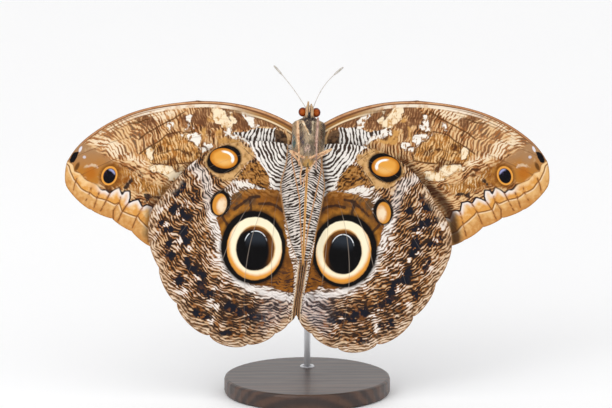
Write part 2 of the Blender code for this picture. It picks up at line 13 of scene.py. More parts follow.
import bpy
import numpy as np
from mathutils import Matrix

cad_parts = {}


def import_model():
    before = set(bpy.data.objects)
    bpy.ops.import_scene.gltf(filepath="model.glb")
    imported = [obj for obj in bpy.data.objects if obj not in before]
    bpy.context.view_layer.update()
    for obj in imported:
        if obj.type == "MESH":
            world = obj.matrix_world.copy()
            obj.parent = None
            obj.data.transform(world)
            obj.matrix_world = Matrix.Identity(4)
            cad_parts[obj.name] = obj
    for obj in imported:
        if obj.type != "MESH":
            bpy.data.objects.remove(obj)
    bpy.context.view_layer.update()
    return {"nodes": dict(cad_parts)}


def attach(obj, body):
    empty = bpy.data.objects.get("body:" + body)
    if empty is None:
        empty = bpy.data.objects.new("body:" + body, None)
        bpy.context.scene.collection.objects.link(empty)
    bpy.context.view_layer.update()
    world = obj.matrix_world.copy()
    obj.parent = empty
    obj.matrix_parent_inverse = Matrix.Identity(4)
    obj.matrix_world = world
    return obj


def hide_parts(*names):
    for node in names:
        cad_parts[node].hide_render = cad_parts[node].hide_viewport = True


MM = 0.001
LOG = logging.getLogger("owl_butterfly")

Point = tuple[float, float]
Outline = tuple[Point, ...]
Knot = tuple[float, float, float, float]
Settings = Mapping[str, Any]


class Side(Enum):
    """The animal's own right and left, and the sign of u there."""

    RIGHT = -1
    LEFT = 1

    @property
    def word(self) -> str:
        """The ending that the nodes of this side have."""
        return self.name.lower()


def smoothstep(low: float, high: float, value: np.ndarray) -> np.ndarray:
    """Gives 0 on the low side and 1 on the high side, with a smooth rise between.

    Args:
        low: Where the rise starts; it may lie above high.
        high: Where the rise ends.
        value: What is measured.

    Returns:
        The share at each value.
    """
    share = np.clip((value - low) / (high - low), 0.0, 1.0)
    return share * share * (3 - 2 * share)


def bezier(points: Sequence[Point], shares: np.ndarray) -> np.ndarray:
    """Follows a Bezier curve.

    Args:
        points: Its control points, from first to last.
        shares: Shares of its run.

    Returns:
        One point for each share.
    """
    layer = [np.asarray(point, float)[None, :] for point in points]
    shares = np.asarray(shares, float)[:, None]
    while len(layer) > 1:
        layer = [(1 - shares) * a + shares * b for a, b in zip(layer, layer[1:])]
    return layer[0]


def smooth_run(rows: np.ndarray, steps: int) -> np.ndarray:
    """Draws a smooth curve through rows of numbers.

    Args:
        rows: The rows to pass through.
        steps: How many steps each stretch takes.

    Returns:
        The rows of the curve, both ends among them.
    """
    rows = np.asarray(rows, float)
    padded = np.vstack([2 * rows[0] - rows[1], rows, 2 * rows[-1] - rows[-2]])
    out = []
    for index in range(1, len(padded) - 2):
        a, b, c, d = padded[index - 1 : index + 3]
        for step in range(steps):
            t = step / steps
            square, cube = 2 * a - 5 * b + 4 * c - d, 3 * b - a - 3 * c + d
            out.append(0.5 * (2 * b + (c - a) * t + square * t**2 + cube * t**3))
    out.append(rows[-1])
    return np.array(out)


def distance_to_line(points: np.ndarray, line: Outline | np.ndarray) -> np.ndarray:
    """Measures how far points lie from a bent line.

    Args:
        points: Pairs of coordinates.
        line: The line's own points.

    Returns:
        The shortest distance of each point.
    """
    line = np.asarray(line, float)
    nearest = np.full(points.shape[:-1], np.inf)
    for start, end in zip(line, line[1:]):
        run = end - start
        share = np.clip((points - start) @ run / max(run @ run, 1e-12), 0.0, 1.0)
        nearest = np.minimum(nearest, np.linalg.norm(points - start - share[..., None] * run, axis=-1))
    return nearest


def distance_to_outline(points: np.ndarray, outline: Outline) -> np.ndarray:
    """Measures how far points lie outside an outline; inside it the number is below 0.

    Args:
        points: Pairs of coordinates.
        outline: The corners of the closed outline.

    Returns:
        The signed distance of each point.
    """
    corners = np.asarray(outline, float)
    inside = np.zeros(points.shape[:-1], bool)
    x, y = points[..., 0], points[..., 1]
    for (ax, ay), (bx, by) in zip(corners, np.roll(corners, -1, axis=0)):
        crosses = (ay > y) != (by > y)
        reach = (bx - ax) * (y - ay) / (by - ay if by != ay else 1e-12) + ax
        inside ^= crosses & (x < reach)
    away = distance_to_line(points, np.vstack([corners, corners[:1]]))
    return np.where(inside, -away, away)


@dataclass(frozen=True)
class Attitude:
    """How the butterfly is held: its height, its lean, and the small turn of its body between the wings."""

    hold_height: float = 74.5
    lean: float = 12.0
    shift: float = 0.36
    body_tilt: float = 2.5
    body_centre: float = 0.55

    def world(self, points: np.ndarray) -> np.ndarray:
        """Places (u, v, w) points in mm into the shared frame, in metres."""
        points = np.asarray(points, float)
        u, v, w = points[..., 0], points[..., 1], points[..., 2]
        cosine, sine = math.cos(math.radians(self.lean)), math.sin(math.radians(self.lean))
        placed = [u - self.shift, v * sine - w * cosine, v * cosine + w * sine + self.hold_height]
        return np.stack(placed, axis=-1) * MM

    def from_body(self, points: np.ndarray) -> np.ndarray:
        """Turns body points by the body's tilt and sets them on its centre line."""
        points = np.asarray(points, float)
        cosine, sine = math.cos(math.radians(self.body_tilt)), math.sin(math.radians(self.body_tilt))
        turned = points.copy()
        turned[..., 0] = points[..., 0] * cosine + points[..., 1] * sine + self.body_centre
        turned[..., 1] = -points[..., 0] * sine + points[..., 1] * cosine
        return turned

    def to_body(self, points: np.ndarray) -> np.ndarray:
        """The other way round from from_body, for (u, v) pairs."""
        points = np.asarray(points, float)
        cosine, sine = math.cos(math.radians(self.body_tilt)), math.sin(math.radians(self.body_tilt))
        u = points[..., 0] - self.body_centre
        return np.stack([u * cosine - points[..., 1] * sine, u * sine + points[..., 1] * cosine], axis=-1)

    def body_world(self, points: np.ndarray) -> np.ndarray:
        """Places body points in mm into the shared frame, in metres."""
        return self.world(self.from_body(points))


POSE = Attitude()


@dataclass(frozen=True)
class Abdomen:
    """The abdomen's round body, which the fold of the hindwings follows too."""

    front: float = -6.1
    length: float = 29.0
    girth: float = 2.75
    rings: int = 8

    def radius(self, share: np.ndarray) -> np.ndarray:
        """Its radius at a share of its length: fullest before the middle, slim at the end."""
        return self.girth * (0.86 + 0.30 * share - 0.86 * share**3)


ABDOMEN = Abdomen()


def added(operator: Callable[..., Any], name: str, **sizes: Any) -> bpy.types.Object:
    """Adds a primitive with nothing else selected.

    Args:
        operator: What adds it.
        name: The new object's name.
        **sizes: The operator's own values.

    Returns:
        The new object.
    """
    bpy.ops.object.select_all(action="DESELECT")
    operator(**sizes)
    obj = bpy.context.object
    obj.name = obj.data.name = name
    return obj


def edit_all(obj: bpy.types.Object, operator: Callable[..., Any], **values: Any) -> None:
    """Uses an operator on the whole of a mesh in edit mode, as by hand.

    Args:
        obj: The mesh object.
        operator: The edit.
        **values: The operator's own values.
    """
    bpy.ops.object.select_all(action="DESELECT")
    obj.select_set(True)
    bpy.context.view_layer.objects.active = obj
    bpy.ops.object.mode_set(mode="EDIT")
    bpy.ops.mesh.select_all(action="SELECT")
    operator(**values)
    bpy.ops.object.mode_set(mode="OBJECT")


def turn_outwards(obj: bpy.types.Object) -> None:
    """Turns every face of a closed mesh outwards."""
    edit_all(obj, bpy.ops.mesh.normals_make_consistent, inside=False)


def points_of(obj: bpy.types.Object) -> np.ndarray:
    """The points of a mesh object, in metres."""
    flat = np.empty(len(obj.data.vertices) * 3)
    obj.data.vertices.foreach_get("co", flat)
    return flat.reshape(-1, 3)


def add_field(obj: bpy.types.Object, name: str, values: np.ndarray) -> None:
    """Gives a mesh a number or a vector at each point, for its finish to read.

    Args:
        obj: The mesh object.
        name: The field's name.
        values: One number, or one row of three, for each point.
    """
    kind, key = ("FLOAT_VECTOR", "vector") if values.ndim == 2 else ("FLOAT", "value")
    made = obj.data.attributes.new(name, kind, "POINT")
    made.data.foreach_set(key, values.astype(np.float32).ravel())


def unit(vectors: np.ndarray) -> np.ndarray:
    """Rows of vectors, each made 1 long."""
    return vectors / np.linalg.norm(vectors, axis=1)[:, None]


# Shader sums


def shade(code: str) -> tuple[float, float, float, float]:
    """Turns a display colour such as C89A62 into the linear one that a shader takes."""
    parts = [int(code[start : start + 2], 16) / 255 for start in (0, 2, 4)]
    return (*(p / 12.92 if p <= 0.04045 else ((p + 0.055) / 1.055) ** 2.4 for p in parts), 1.0)


class Value:
    """A number that varies over a surface; a sum with it adds the Math nodes that work it out."""

    def __init__(self, net: "Net", socket: bpy.types.NodeSocket) -> None:
        """Wraps a socket.

        Args:
            net: The material that the socket belongs to.
            socket: The output that gives the number.
        """
        self.net = net
        self.socket = socket

    def __add__(self, other: "Value | float") -> "Value":
        """The sum of both."""
        return self.net.math("ADD", self, other)

    __radd__ = __add__

    def __sub__(self, other: "Value | float") -> "Value":
        """This less the other."""
        return self.net.math("SUBTRACT", self, other)

    def __rsub__(self, other: float) -> "Value":
        """The other less this."""
        return self.net.math("SUBTRACT", other, self)

    def __mul__(self, other: "Value | float") -> "Value":
        """The product of both."""
        return self.net.math("MULTIPLY", self, other)

    __rmul__ = __mul__

    def __pow__(self, power: float) -> "Value":
        """This to a power."""
        return self.net.math("POWER", self, power)

    def __or__(self, other: "Value | float") -> "Value":
        """The higher of both."""
        return self.net.math("MAXIMUM", self, other)

    def __abs__(self) -> "Value":
        """Its size without its sign."""
        return self.net.math("ABSOLUTE", self)

    def rise(self, low: float, high: float) -> "Value":
        """0 at low and 1 at high, with a smooth rise between; low may lie above high."""
        flip = low > high
        made = self.net.node(
            "ShaderNodeMapRange",
            {"interpolation_type": "SMOOTHSTEP"},
            {"Value": self, "From Min": min(low, high), "From Max": max(low, high)},
        )
        value = Value(self.net, made.outputs[0])
        return 1.0 - value if flip else value


Feed = Value | bpy.types.NodeSocket | float | Sequence[float]


@dataclass(frozen=True)
class Oval:
    """An oval mark: its centre, its half sizes, and how far it is turned, in degrees."""

    centre: Point
    radii: Point
    turn: float = 0.0


class Net:
    """The nodes of one material, with the few moves that every finish is made of."""

    def __init__(self, name: str, **constants: float | Sequence[float]) -> None:
        """Starts a material with one Principled shader.

        Args:
            name: The finish's name.
            **constants: Values of the shader's sockets that are the same all over, with _ for a space.
        """
        self.material = bpy.data.materials.new(name)
        self.material.use_nodes = True
        self.tree = self.material.node_tree
        self.tree.nodes.clear()
        values = {key.replace("_", " "): value for key, value in constants.items()}
        self.shader = self.node("ShaderNodeBsdfPrincipled", {}, values)
        self.colour: Feed | str = "808080"
        self.node("ShaderNodeOutputMaterial", {}, {"Surface": self.shader.outputs[0]})

    def node(
        self, kind: str, settings: Settings = {}, values: Mapping[str | int, Feed] = {}
    ) -> bpy.types.Node:
        """Adds a node.

        Args:
            kind: The node's type.
            settings: Its settings, which are set first.
            values: Numbers, colours or links for its sockets, by name or number.

        Returns:
            The node.
        """
        made = self.tree.nodes.new(kind)
        for name, setting in settings.items():
            setattr(made, name, setting)
        for key, value in values.items():
            if isinstance(value, Value):
                value = value.socket
            if isinstance(value, bpy.types.NodeSocket):
                self.tree.links.new(value, made.inputs[key])
            else:
                made.inputs[key].default_value = value
        return made

    def math(self, operation: str, *terms: Value | float) -> Value:
        """One step of arithmetic."""
        made = self.node("ShaderNodeMath", {"operation": operation}, dict(enumerate(terms)))
        return Value(self, made.outputs[0])

    def field(self, name: str) -> Value:
        """A number that the mesh carries at its points."""
        return Value(self, self.node("ShaderNodeAttribute", {"attribute_name": name}).outputs["Fac"])

    def vector(self, name: str) -> bpy.types.NodeSocket:
        """A vector that the mesh carries at its points."""
        return self.node("ShaderNodeAttribute", {"attribute_name": name}).outputs["Vector"]

    def place(self, scale: float = 1000.0) -> bpy.types.NodeSocket:
        """Object coordinates, in millimetres unless another scale is given."""
        found = self.node("ShaderNodeTexCoord").outputs["Object"]
        values = {0: found, "Scale": scale}
        return self.node("ShaderNodeVectorMath", {"operation": "SCALE"}, values).outputs[0]

    def parts(self, vector: bpy.types.NodeSocket) -> tuple[Value, Value, Value]:
        """The three numbers of a vector."""
        made = self.node("ShaderNodeSeparateXYZ", {}, {0: vector})
        return tuple(Value(self, socket) for socket in made.outputs)

    def join(self, x: Feed, y: Feed, z: Feed = 0.0) -> bpy.types.NodeSocket:
        """A vector of three numbers."""
        return self.node("ShaderNodeCombineXYZ", {}, {0: x, 1: y, 2: z}).outputs[0]

    def noise(self, vector: Feed, size: float, seed: float = 0.0, detail: float = 2.0) -> Value:
        """Soft random patches.

        Args:
            vector: Where the pattern is read.
            size: The rough size of a patch, in the vector's own unit.
            seed: Another number gives another pattern.
            detail: How many finer layers it has.

        Returns:
            A number round 0.5.
        """
        settings = {"noise_dimensions": "4D"}
        values = {"Vector": vector, "W": seed * 3.7, "Scale": 1.0 / size, "Detail": detail}
        return Value(self, self.node("ShaderNodeTexNoise", settings, values).outputs["Fac"])

    def lines(self, phase: Value) -> Value:
        """Turns a phase into lines: 1 in the middle of each, 0 half way to the next."""
        return abs(self.math("FRACT", phase) * 2.0 - 1.0)

    def wander(self, vector: Feed, size: float, amount: float, seed: float = 0.0) -> Value:
        """A soft random shift of about the given amount to either side."""
        return (self.noise(vector, size, seed, 1.0) - 0.5) * (3.0 * amount)

    def cells(self, vector: Feed, size: float) -> Value:
        """Close-set cells of the given size: the distance from each cell's middle."""
        values = {"Vector": vector, "Scale": 1.0 / size}
        return Value(self, self.node("ShaderNodeTexVoronoi", {}, values).outputs["Distance"])

    def blend(self, base: Feed | str, top: Feed | str, share: Value | float) -> bpy.types.NodeSocket:
        """Mixes two colours.

        Args:
            base: The colour below, as a link or a display code.
            top: The colour above.
            share: How much of the top shows.

        Returns:
            The colour.
        """
        base, top = (shade(c) if isinstance(c, str) else c for c in (base, top))
        return self.node("ShaderNodeMix", {"data_type": "RGBA"}, {0: share, 6: base, 7: top}).outputs[2]

    def lay(self, top: Feed | str, share: Value | float) -> None:
        """Lays a colour over what the finish has so far."""
        self.colour = self.blend(self.colour, top, share)

    def oval(self, x: Value, y: Value, mark: Oval) -> Value:
        """How far out of an oval's centre a place lies; its rim is at 1."""
        cosine, sine = math.cos(math.radians(mark.turn)), math.sin(math.radians(mark.turn))
        dx, dy = x - mark.centre[0], y - mark.centre[1]
        across = (dx * (cosine / mark.radii[0])) + dy * (sine / mark.radii[0])
        along = (dy * (cosine / mark.radii[1])) - dx * (sine / mark.radii[1])
        return (across * across + along * along) ** 0.5

    def bump(self, height: Value, distance: float, strength: float = 1.0) -> None:
        """Gives the surface a relief.

        Args:
            height: The relief, from 0 to 1.
            distance: Its depth in mm.
            strength: How strongly it shows.
        """
        values = {"Height": height, "Distance": distance * MM, "Strength": strength}
        self.feed("Normal", self.node("ShaderNodeBump", {}, values).outputs[0])

    def feed(self, socket: str, value: Feed) -> None:
        """Links a number or colour to one socket of the shader."""
        value = value.socket if isinstance(value, Value) else value
        self.tree.links.new(value, self.shader.inputs[socket])


# Wings


@dataclass(frozen=True)
class Vein:
    """One line of a wing from root to margin, with u counted outwards, in mm.

    The margin swells by bulge between this line's end and the next, and a line that follows swings with its
    wing, where one of the fold over the abdomen stays on the body.
    """

    root: Point
    controls: tuple[Point, Point]
    end: Point
    ridge_from: float
    bulge: float
    follows: float = 1.0
    fullness: float = 0.6


FOREWING_VEINS = (
    Vein((3.2, 6.9), ((10.5, 11.9), (21.0, 15.0)), (33.2, 14.6), 0.0, 0.35, fullness=1.0),
    Vein((3.2, 6.4), ((13.0, 10.8), (30.0, 14.2)), (47.2, 12.8), 0.0, 1.15, fullness=1.0),
    Vein((3.2, 5.9), ((16.0, 9.4), (40.0, 13.0)), (65.6, 4.3), 0.30, 0.55, fullness=1.0),
    Vein((3.2, 5.4), ((18.0, 7.8), (46.0, 10.2)), (72.0, -3.1), 0.42, 0.55),
    Vein((3.2, 4.9), ((20.0, 6.0), (46.0, 6.0)), (72.6, -10.2), 0.42, 0.95),
    Vein((3.2, 4.4), ((20.0, 4.2), (44.0, 1.0)), (64.9, -17.9), 0.46, 0.40),
    Vein((3.2, 3.9), ((19.0, 2.4), (42.0, -2.0)), (58.6, -20.5), 0.46, 0.45),
    Vein((3.2, 3.3), ((18.0, 0.6), (38.0, -4.5)), (52.7, -24.3), 0.40, 0.45),
    Vein((3.2, 2.7), ((16.0, -1.6), (32.0, -8.5)), (47.3, -28.8), 0.28, 0.30),
    Vein((3.2, 1.9), ((13.0, -3.8), (28.0, -13.5)), (43.2, -30.6), 0.0, 0.20),
    Vein((3.2, 1.2), ((12.0, -5.2), (26.0, -16.0)), (40.6, -30.0), 1.0, 0.0),
)

HINDWING_VEINS = (
    Vein((3.0, 1.2), ((13.0, 3.6), (28.0, 5.0)), (38.6, -8.6), 0.0, 0.15, fullness=1.0),
    Vein((3.0, 0.5), ((14.0, 1.4), (32.0, -3.5)), (45.4, -16.8), 0.12, 1.30, fullness=0.8),
    Vein((3.0, -0.2), ((15.0, -0.8), (34.0, -8.0)), (46.8, -28.6), 0.30, 0.45),
    Vein((3.0, -0.9), ((14.0, -3.2), (33.0, -13.5)), (43.9, -35.4), 0.34, 1.40),
    Vein((3.0, -1.6), ((13.0, -5.4), (31.0, -20.0)), (38.6, -45.9), 0.40, 2.10),
    Vein((3.0, -2.3), ((12.0, -7.4), (28.0, -26.0)), (28.9, -55.4), 0.40, 2.10),
    Vein((3.0, -3.0), ((11.0, -9.2), (22.0, -29.0)), (17.5, -58.1), 0.36, 1.20),
    Vein((2.9, -3.7), ((9.8, -10.4), (11.6, -30.0)), (9.4, -54.9), 0.22, 0.50),
    Vein((2.6, -4.4), ((8.0, -10.0), (7.4, -28.0)), (5.5, -52.2), 1.0, 0.10),
    Vein((1.4, -5.0), ((3.8, -12.0), (2.2, -26.0)), (0.75, -50.8), 1.0, 0.05, 0.0),
    Vein((0.0, -5.2), ((0.0, -18.0), (0.0, -32.0)), (0.0, -49.4), 1.0, 0.0, 0.0),
)


@dataclass
class Wing:
    """One wing: a thin sheet over a fan of veins, with what its finish needs to know at each point."""

    side: Side
    veins: tuple[Vein, ...] = ()
    name: str = "wing"
    level: float = 0.0
    per_span: int = 16
    rows: int = 120
    thickest: float = 0.78
    membrane: float = 0.34
    ridge_width: float = 0.26
    dihedral: float = 0.07
    droop: float = 0.0006
    pleat: float = 0.14
    front_spans: int = 0
    outlines: Mapping[str, tuple[Outline, ...]] = field(default_factory=dict)
    lines: Mapping[str, tuple[Outline, ...]] = field(default_factory=dict)

    def set_out(self, points: np.ndarray, follows: float) -> np.ndarray:
        """Sets plan points (outward u, v) on this side of the animal."""
        raise NotImplementedError

    def height(self, place: np.ndarray) -> np.ndarray:
        """How far towards the viewer the sheet lies at its (u, v) points."""
        across = np.abs(place[..., 0])
        return self.level - self.dihedral * across - self.droop * across**2

    def extra_fields(self, plan: np.ndarray, place: np.ndarray) -> dict[str, np.ndarray]:
        """More that the finish reads at each point."""
        return {}

    def grid(self) -> tuple[np.ndarray, np.ndarray, dict[str, np.ndarray]]:
        """Works out the sheet column by column.

        Returns:
            The plan and the placed (u, v) points, and the fields pleat, vein, span and reach at each.
        """
        shares = np.linspace(0.0, 1.0, self.rows) ** 0.9
        at_margin = smoothstep(0.9, 1.0, shares)
        flat = [bezier((vein.root, *vein.controls, vein.end), shares) for vein in self.veins]
        placed = [self.set_out(line, vein.follows) for line, vein in zip(flat, self.veins)]
        steps = np.arange(self.per_span) / self.per_span
        weights = steps - 0.115 * np.sin(2 * math.pi * steps)
        plan, place, pleats, veins, spans = [], [], [], [], []
        for index, vein in enumerate(self.veins[:-1]):
            following = self.veins[index + 1]
            for weight in [*weights, *([1.0] if index == len(self.veins) - 2 else [])]:
                swell = (4 * weight * (1 - weight)) ** vein.fullness * vein.bulge * at_margin
                for lines, out in ((flat, plan), (placed, place)):
                    here, across = lines[index], lines[index + 1] - lines[index]
                    outward = np.array([across[-1][1], -across[-1][0]]) / np.linalg.norm(across[-1])
                    if outward @ (here[-1] - here[0]) < 0:
                        outward = -outward
                    out.append(here + across * weight + outward * swell[:, None])
                turn = 1.0 if index % 2 else -1.0
                pleats.append(turn * self.pleat * math.sin(math.pi * weight) * smoothstep(0.15, 0.6, shares))
                width = np.linalg.norm(flat[index + 1] - flat[index], axis=1)
                near = []
                for away, start in ((weight, vein.ridge_from), (1 - weight, following.ridge_from)):
                    bare = smoothstep(start, start - 0.08, shares) * (start > 0)
                    near.append(away * width + 4.0 * bare)
                veins.append(np.minimum(*near))
                spans.append(np.full_like(shares, index + weight))
        fields = {"pleat": np.array(pleats), "vein": np.array(veins), "span": np.array(spans)}
        fields["reach"] = np.tile(shares, (len(plan), 1))
        return np.array(plan), np.array(place), fields

    def build(self, underside: bpy.types.Material, upperside: bpy.types.Material) -> bpy.types.Object:
        """Models the wing.

        Args:
            underside: The finish of the face towards the viewer.
            upperside: The finish of the other face.

        Returns:
            The finished wing, a closed sheet.
        """
        plan, place, fields = self.grid()
        columns, rows = plan.shape[:2]
        level = self.height(place) + fields["pleat"]
        fields["edge"] = distance_to_line(plan, plan[:, -1])
        front = np.concatenate([plan[0], plan[1 : self.front_spans * self.per_span + 1, -1]])
        fields["front"] = distance_to_line(plan, front)
        for name, group in self.outlines.items():
            fields[name] = np.minimum.reduce([distance_to_outline(plan, outline) for outline in group])
        for name, group in self.lines.items():
            fields[name] = np.minimum.reduce([distance_to_line(plan, line) for line in group])
        fields.update(self.extra_fields(plan, place))

        cuts = {"x_subdivisions": columns - 1, "y_subdivisions": rows - 1}
        obj = added(bpy.ops.mesh.primitive_grid_add, self.name, size=1.0, **cuts)
        flat = points_of(obj)
        column = np.rint((flat[:, 0] + 0.5) * (columns - 1)).astype(int)
        row = np.rint((flat[:, 1] + 0.5) * (rows - 1)).astype(int)
        points = np.concatenate([place, level[..., None]], axis=-1)[column, row]
        obj.data.vertices.foreach_set("co", POSE.world(points).ravel())
        for name, values in fields.items():
            add_field(obj, name, values[column, row])
        apart = np.full(plan.shape[:2] + (1,), 5.0 * self.side.value)
        add_field(obj, "plan", np.concatenate([plan, apart], axis=-1)[column, row])
        obj.data.update()
        normals = np.empty(len(obj.data.polygons) * 3)
        obj.data.polygons.foreach_get("normal", normals)
        if normals.reshape(-1, 3)[:, 1].mean() > 0:
            edit_all(obj, bpy.ops.mesh.flip_normals)

        ridge = np.exp(-((fields["vein"] / self.ridge_width) ** 2)) * (1.0 - 0.45 * fields["reach"])
        root = smoothstep(0.22, 0.05, fields["reach"]) * (np.arange(columns) / columns < 0.7)[:, None]
        weight = np.maximum(ridge, root)[column, row]
        group = obj.vertex_groups.new(name="thick")
        for index, share in enumerate(weight):
            group.add([index], float(share), "REPLACE")
        obj.data.materials.append(underside)
        obj.data.materials.append(upperside)
        solidify = obj.modifiers.new("sheet", "SOLIDIFY")
        solidify.thickness = self.thickest * MM
        solidify.offset = 0.0
        solidify.vertex_group = "thick"
        solidify.thickness_vertex_group = self.membrane / self.thickest
        solidify.material_offset = 1
        bpy.ops.object.modifier_apply(modifier="sheet")
        obj.data.shade_smooth()
        return obj


@dataclass
class Forewing(Wing):
    """A forewing, whose hind part lies behind the hindwing."""

    veins: tuple[Vein, ...] = FOREWING_VEINS
    level: float = -2.8
    per_span: int = 18
    rows: int = 130
    centre: float = 0.36
    tuck: float = 0.0
    front_spans: int = 3

    def set_out(self, points: np.ndarray, follows: float) -> np.ndarray:
        """Sets plan points on this side; the left wing's hind part is drawn up a little."""
        out, along = points[..., 0], points[..., 1]
        tuck = self.tuck * smoothstep(62.0, 46.0, out) * smoothstep(-8.0, -24.0, along)
        return np.stack([self.side.value * out + self.centre, along + tuck], axis=-1)


@dataclass
class Hindwing(Wing):
    """A hindwing, whose inner part folds over the abdomen to the seam in the middle."""

    veins: tuple[Vein, ...] = HINDWING_VEINS
    level: float = -1.0
    per_span: int = 17
    rows: int = 150
    pivot: Point = (5.1, 2.1)
    sweep: float = 0.0
    crease: float = 6.9
    fold_wall: float = 4.2
    fold_clearance: float = 0.85
    fold_sag: float = 0.8
    seam_half_gap: float = 0.06
    seam_opening: float = 0.05
    seam_drift: float = -1.3
    lip_height: float = 0.5
    strand: tuple[tuple[float, ...], tuple[float, ...]] = ((-32.0, -14.3, -3.2), (0.3, 1.9, 4.6))

    def drift(self, along: np.ndarray) -> np.ndarray:
        """How far the seam strays from the body's own axis towards its end."""
        return self.seam_drift * smoothstep(-34.0, -49.5, along)

    def set_out(self, points: np.ndarray, follows: float) -> np.ndarray:
        """Sets plan points on this side: lines that follow the wing swing, those of the fold stay put."""
        side = float(self.side.value)
        outer = np.stack([side * points[..., 0], points[..., 1]], axis=-1)
        angle = math.radians(self.sweep) * follows
        pivot = np.array([side * self.pivot[0], self.pivot[1]])
        across, along = outer[..., 0] - pivot[0], outer[..., 1] - pivot[1]
        cosine, sine = math.cos(angle), math.sin(angle)
        turned = [across * cosine + side * along * sine, along * cosine - side * across * sine]
        swung = pivot + np.stack(turned, axis=-1)
        v = outer[..., 1]
        opening = self.seam_opening * smoothstep(-19.0, -32.0, v) * smoothstep(-36.0, -32.5, v)
        slit = side * (self.seam_half_gap + opening)
        on_body = POSE.from_body(np.stack([outer[..., 0] + self.drift(v) + slit, v, 0 * v], axis=-1))[..., :2]
        share = min(max(1.0 - follows / 0.35, 0.0), 1.0)
        return share * on_body + (1 - share) * swung

    def fold_place(self, place: np.ndarray) -> tuple[np.ndarray, np.ndarray, np.ndarray]:
        """Where points lie on the fold.

        Args:
            place: Placed (u, v) points.

        Returns:
            Their distance from the seam, the fold's width there, and their place along the body.
        """
        inward = POSE.to_body(place)
        along = inward[..., 1]
        narrowing = 1.0 - 0.62 * smoothstep(-10.0, -36.0, along)
        panel = self.crease * narrowing * (0.8 + 0.2 * smoothstep(-3.0, -11.0, along))
        return np.abs(inward[..., 0] - self.drift(along)), panel, along

    def height(self, place: np.ndarray) -> np.ndarray:
        """The sheet's level, raised where it wraps the abdomen, with a rolled lip at the seam's end."""
        distance, panel, along = self.fold_place(place)
        abdomen = ABDOMEN.radius(np.clip((ABDOMEN.front - along) / ABDOMEN.length, 0.0, 1.0))
        sag = self.fold_sag * np.clip(distance / panel, 0, 1) ** 2
        top = abdomen + self.fold_clearance - self.level - sag
        fade = smoothstep(1.0, -4.4, along) * (1.0 - 0.80 * smoothstep(-33.0, -47.0, along))
        lip = self.lip_height * np.exp(-(((distance - 1.0) / 0.7) ** 2))
        lip = lip * smoothstep(-31.0, -34.0, along) * smoothstep(-49.0, -43.0, along)
        raised = top * fade * smoothstep(1.0, 0.0, (distance - panel) / self.fold_wall) + lip
        return super().height(place) + raised

    def extra_fields(self, plan: np.ndarray, place: np.ndarray) -> dict[str, np.ndarray]:
        """The fold's own coordinates."""
        distance, panel, along = self.fold_place(place)
        strand = np.interp(along, *self.strand)
        off = np.abs(distance - strand)
        return {"seam": distance, "fold": distance / panel, "along": along, "strand": off}


# Wing finishes


class WingFinish(Net):
    """What both undersides have in common: fine wavy lines that run round the wing's root."""

    name = "wing underside"
    roughness = 0.75
    centre = (2.5, 3.0)

    def __init__(self, side: Side) -> None:
        """Starts the material.

        Args:
            side: The wing's side.
        """
        super().__init__(f"{self.name} {side.word}", Roughness=self.roughness, Specular_IOR_Level=0.12)
        self.side = side
        self.plan = self.vector("plan")
        self.x, self.y, _ = self.parts(self.plan)
        dx, dy = self.x - self.centre[0], self.y - self.centre[1]
        self.far = (dx * dx + dy * dy) ** 0.5
        self.around = self.math("ARCTAN2", dy, dx) * self.far

    def waves(
        self, run: Value, along: Value, period: float, seed: float, rough: float = 1.0,
        broken: float = 1.0, base: Feed | None = None,
    ) -> Value:
        """Broken wavy lines across a run: near 1 in a light line, near 0 between two.

        Args:
            run: The distance that the lines are spaced along, in mm.
            along: The distance along the lines, in mm.
            period: The spacing in mm.
            seed: Another number gives another set of waves.
            rough: How uneven and broken the lines are.
            broken: How short the dashes are.
            base: Where the unevenness is read, if not on the plan.

        Returns:
            The level.
        """
        plan = self.plan if base is None else base
        slow = self.wander(plan, 7.0, 1.2, seed)
        quick = self.wander(plan, 2.4, 0.62 * rough, seed + 1.3)
        jag = self.wander(plan, 0.8, 0.16 * rough, seed + 2.1)
        phase = (run + slow + quick + jag) * (1.0 / period)
        place = self.join(along * (0.55 * broken), phase * 0.8, 3.0 * seed + self.side.value)
        dash = self.noise(place, 1.0, seed, 2.0) - 0.5
        return self.lines(phase) * 0.66 + 0.17 + dash * (2.3 * rough)

    def patch(self, name: str, soft: float = 0.25, stray: float = 0.35, grow: float = 0.0) -> Value:
        """A patch of the pattern with an uneven rim.

        Args:
            name: The mesh field that holds the signed distance.
            soft: How wide the rim fades, in mm.
            stray: How far the rim strays, in mm.
            grow: How far the patch reaches past its outline, in mm.

        Returns:
            Its share at each place.
        """
        away = self.field(name) - grow
        away = away + self.wander(self.plan, 2.0, stray, len(name) + 0.5)
        away = away + self.wander(self.plan, 0.8, stray * 0.6, len(name) + 1.5)
        return away.rise(soft, -soft)

    def complete(self) -> bpy.types.Material:
        """Feeds the colour, adds the scales' grain and ribs along the veins, and gives the material."""
        self.feed("Base Color", self.colour)
        grain = self.noise(self.plan, 0.16, 5.0, 3.0) + self.noise(self.plan, 1.1, 6.0, 1.0)
        ribs = self.field("vein").rise(0.3, 0.0)
        self.bump(grain * 0.35 + ribs * 0.5, 0.12, 0.6)
        return self.material

    def cell(self) -> Value:
        """0 on each vein and 1 half way between two."""
        line = self.lines(self.field("span"))
        return 1.0 - line * line


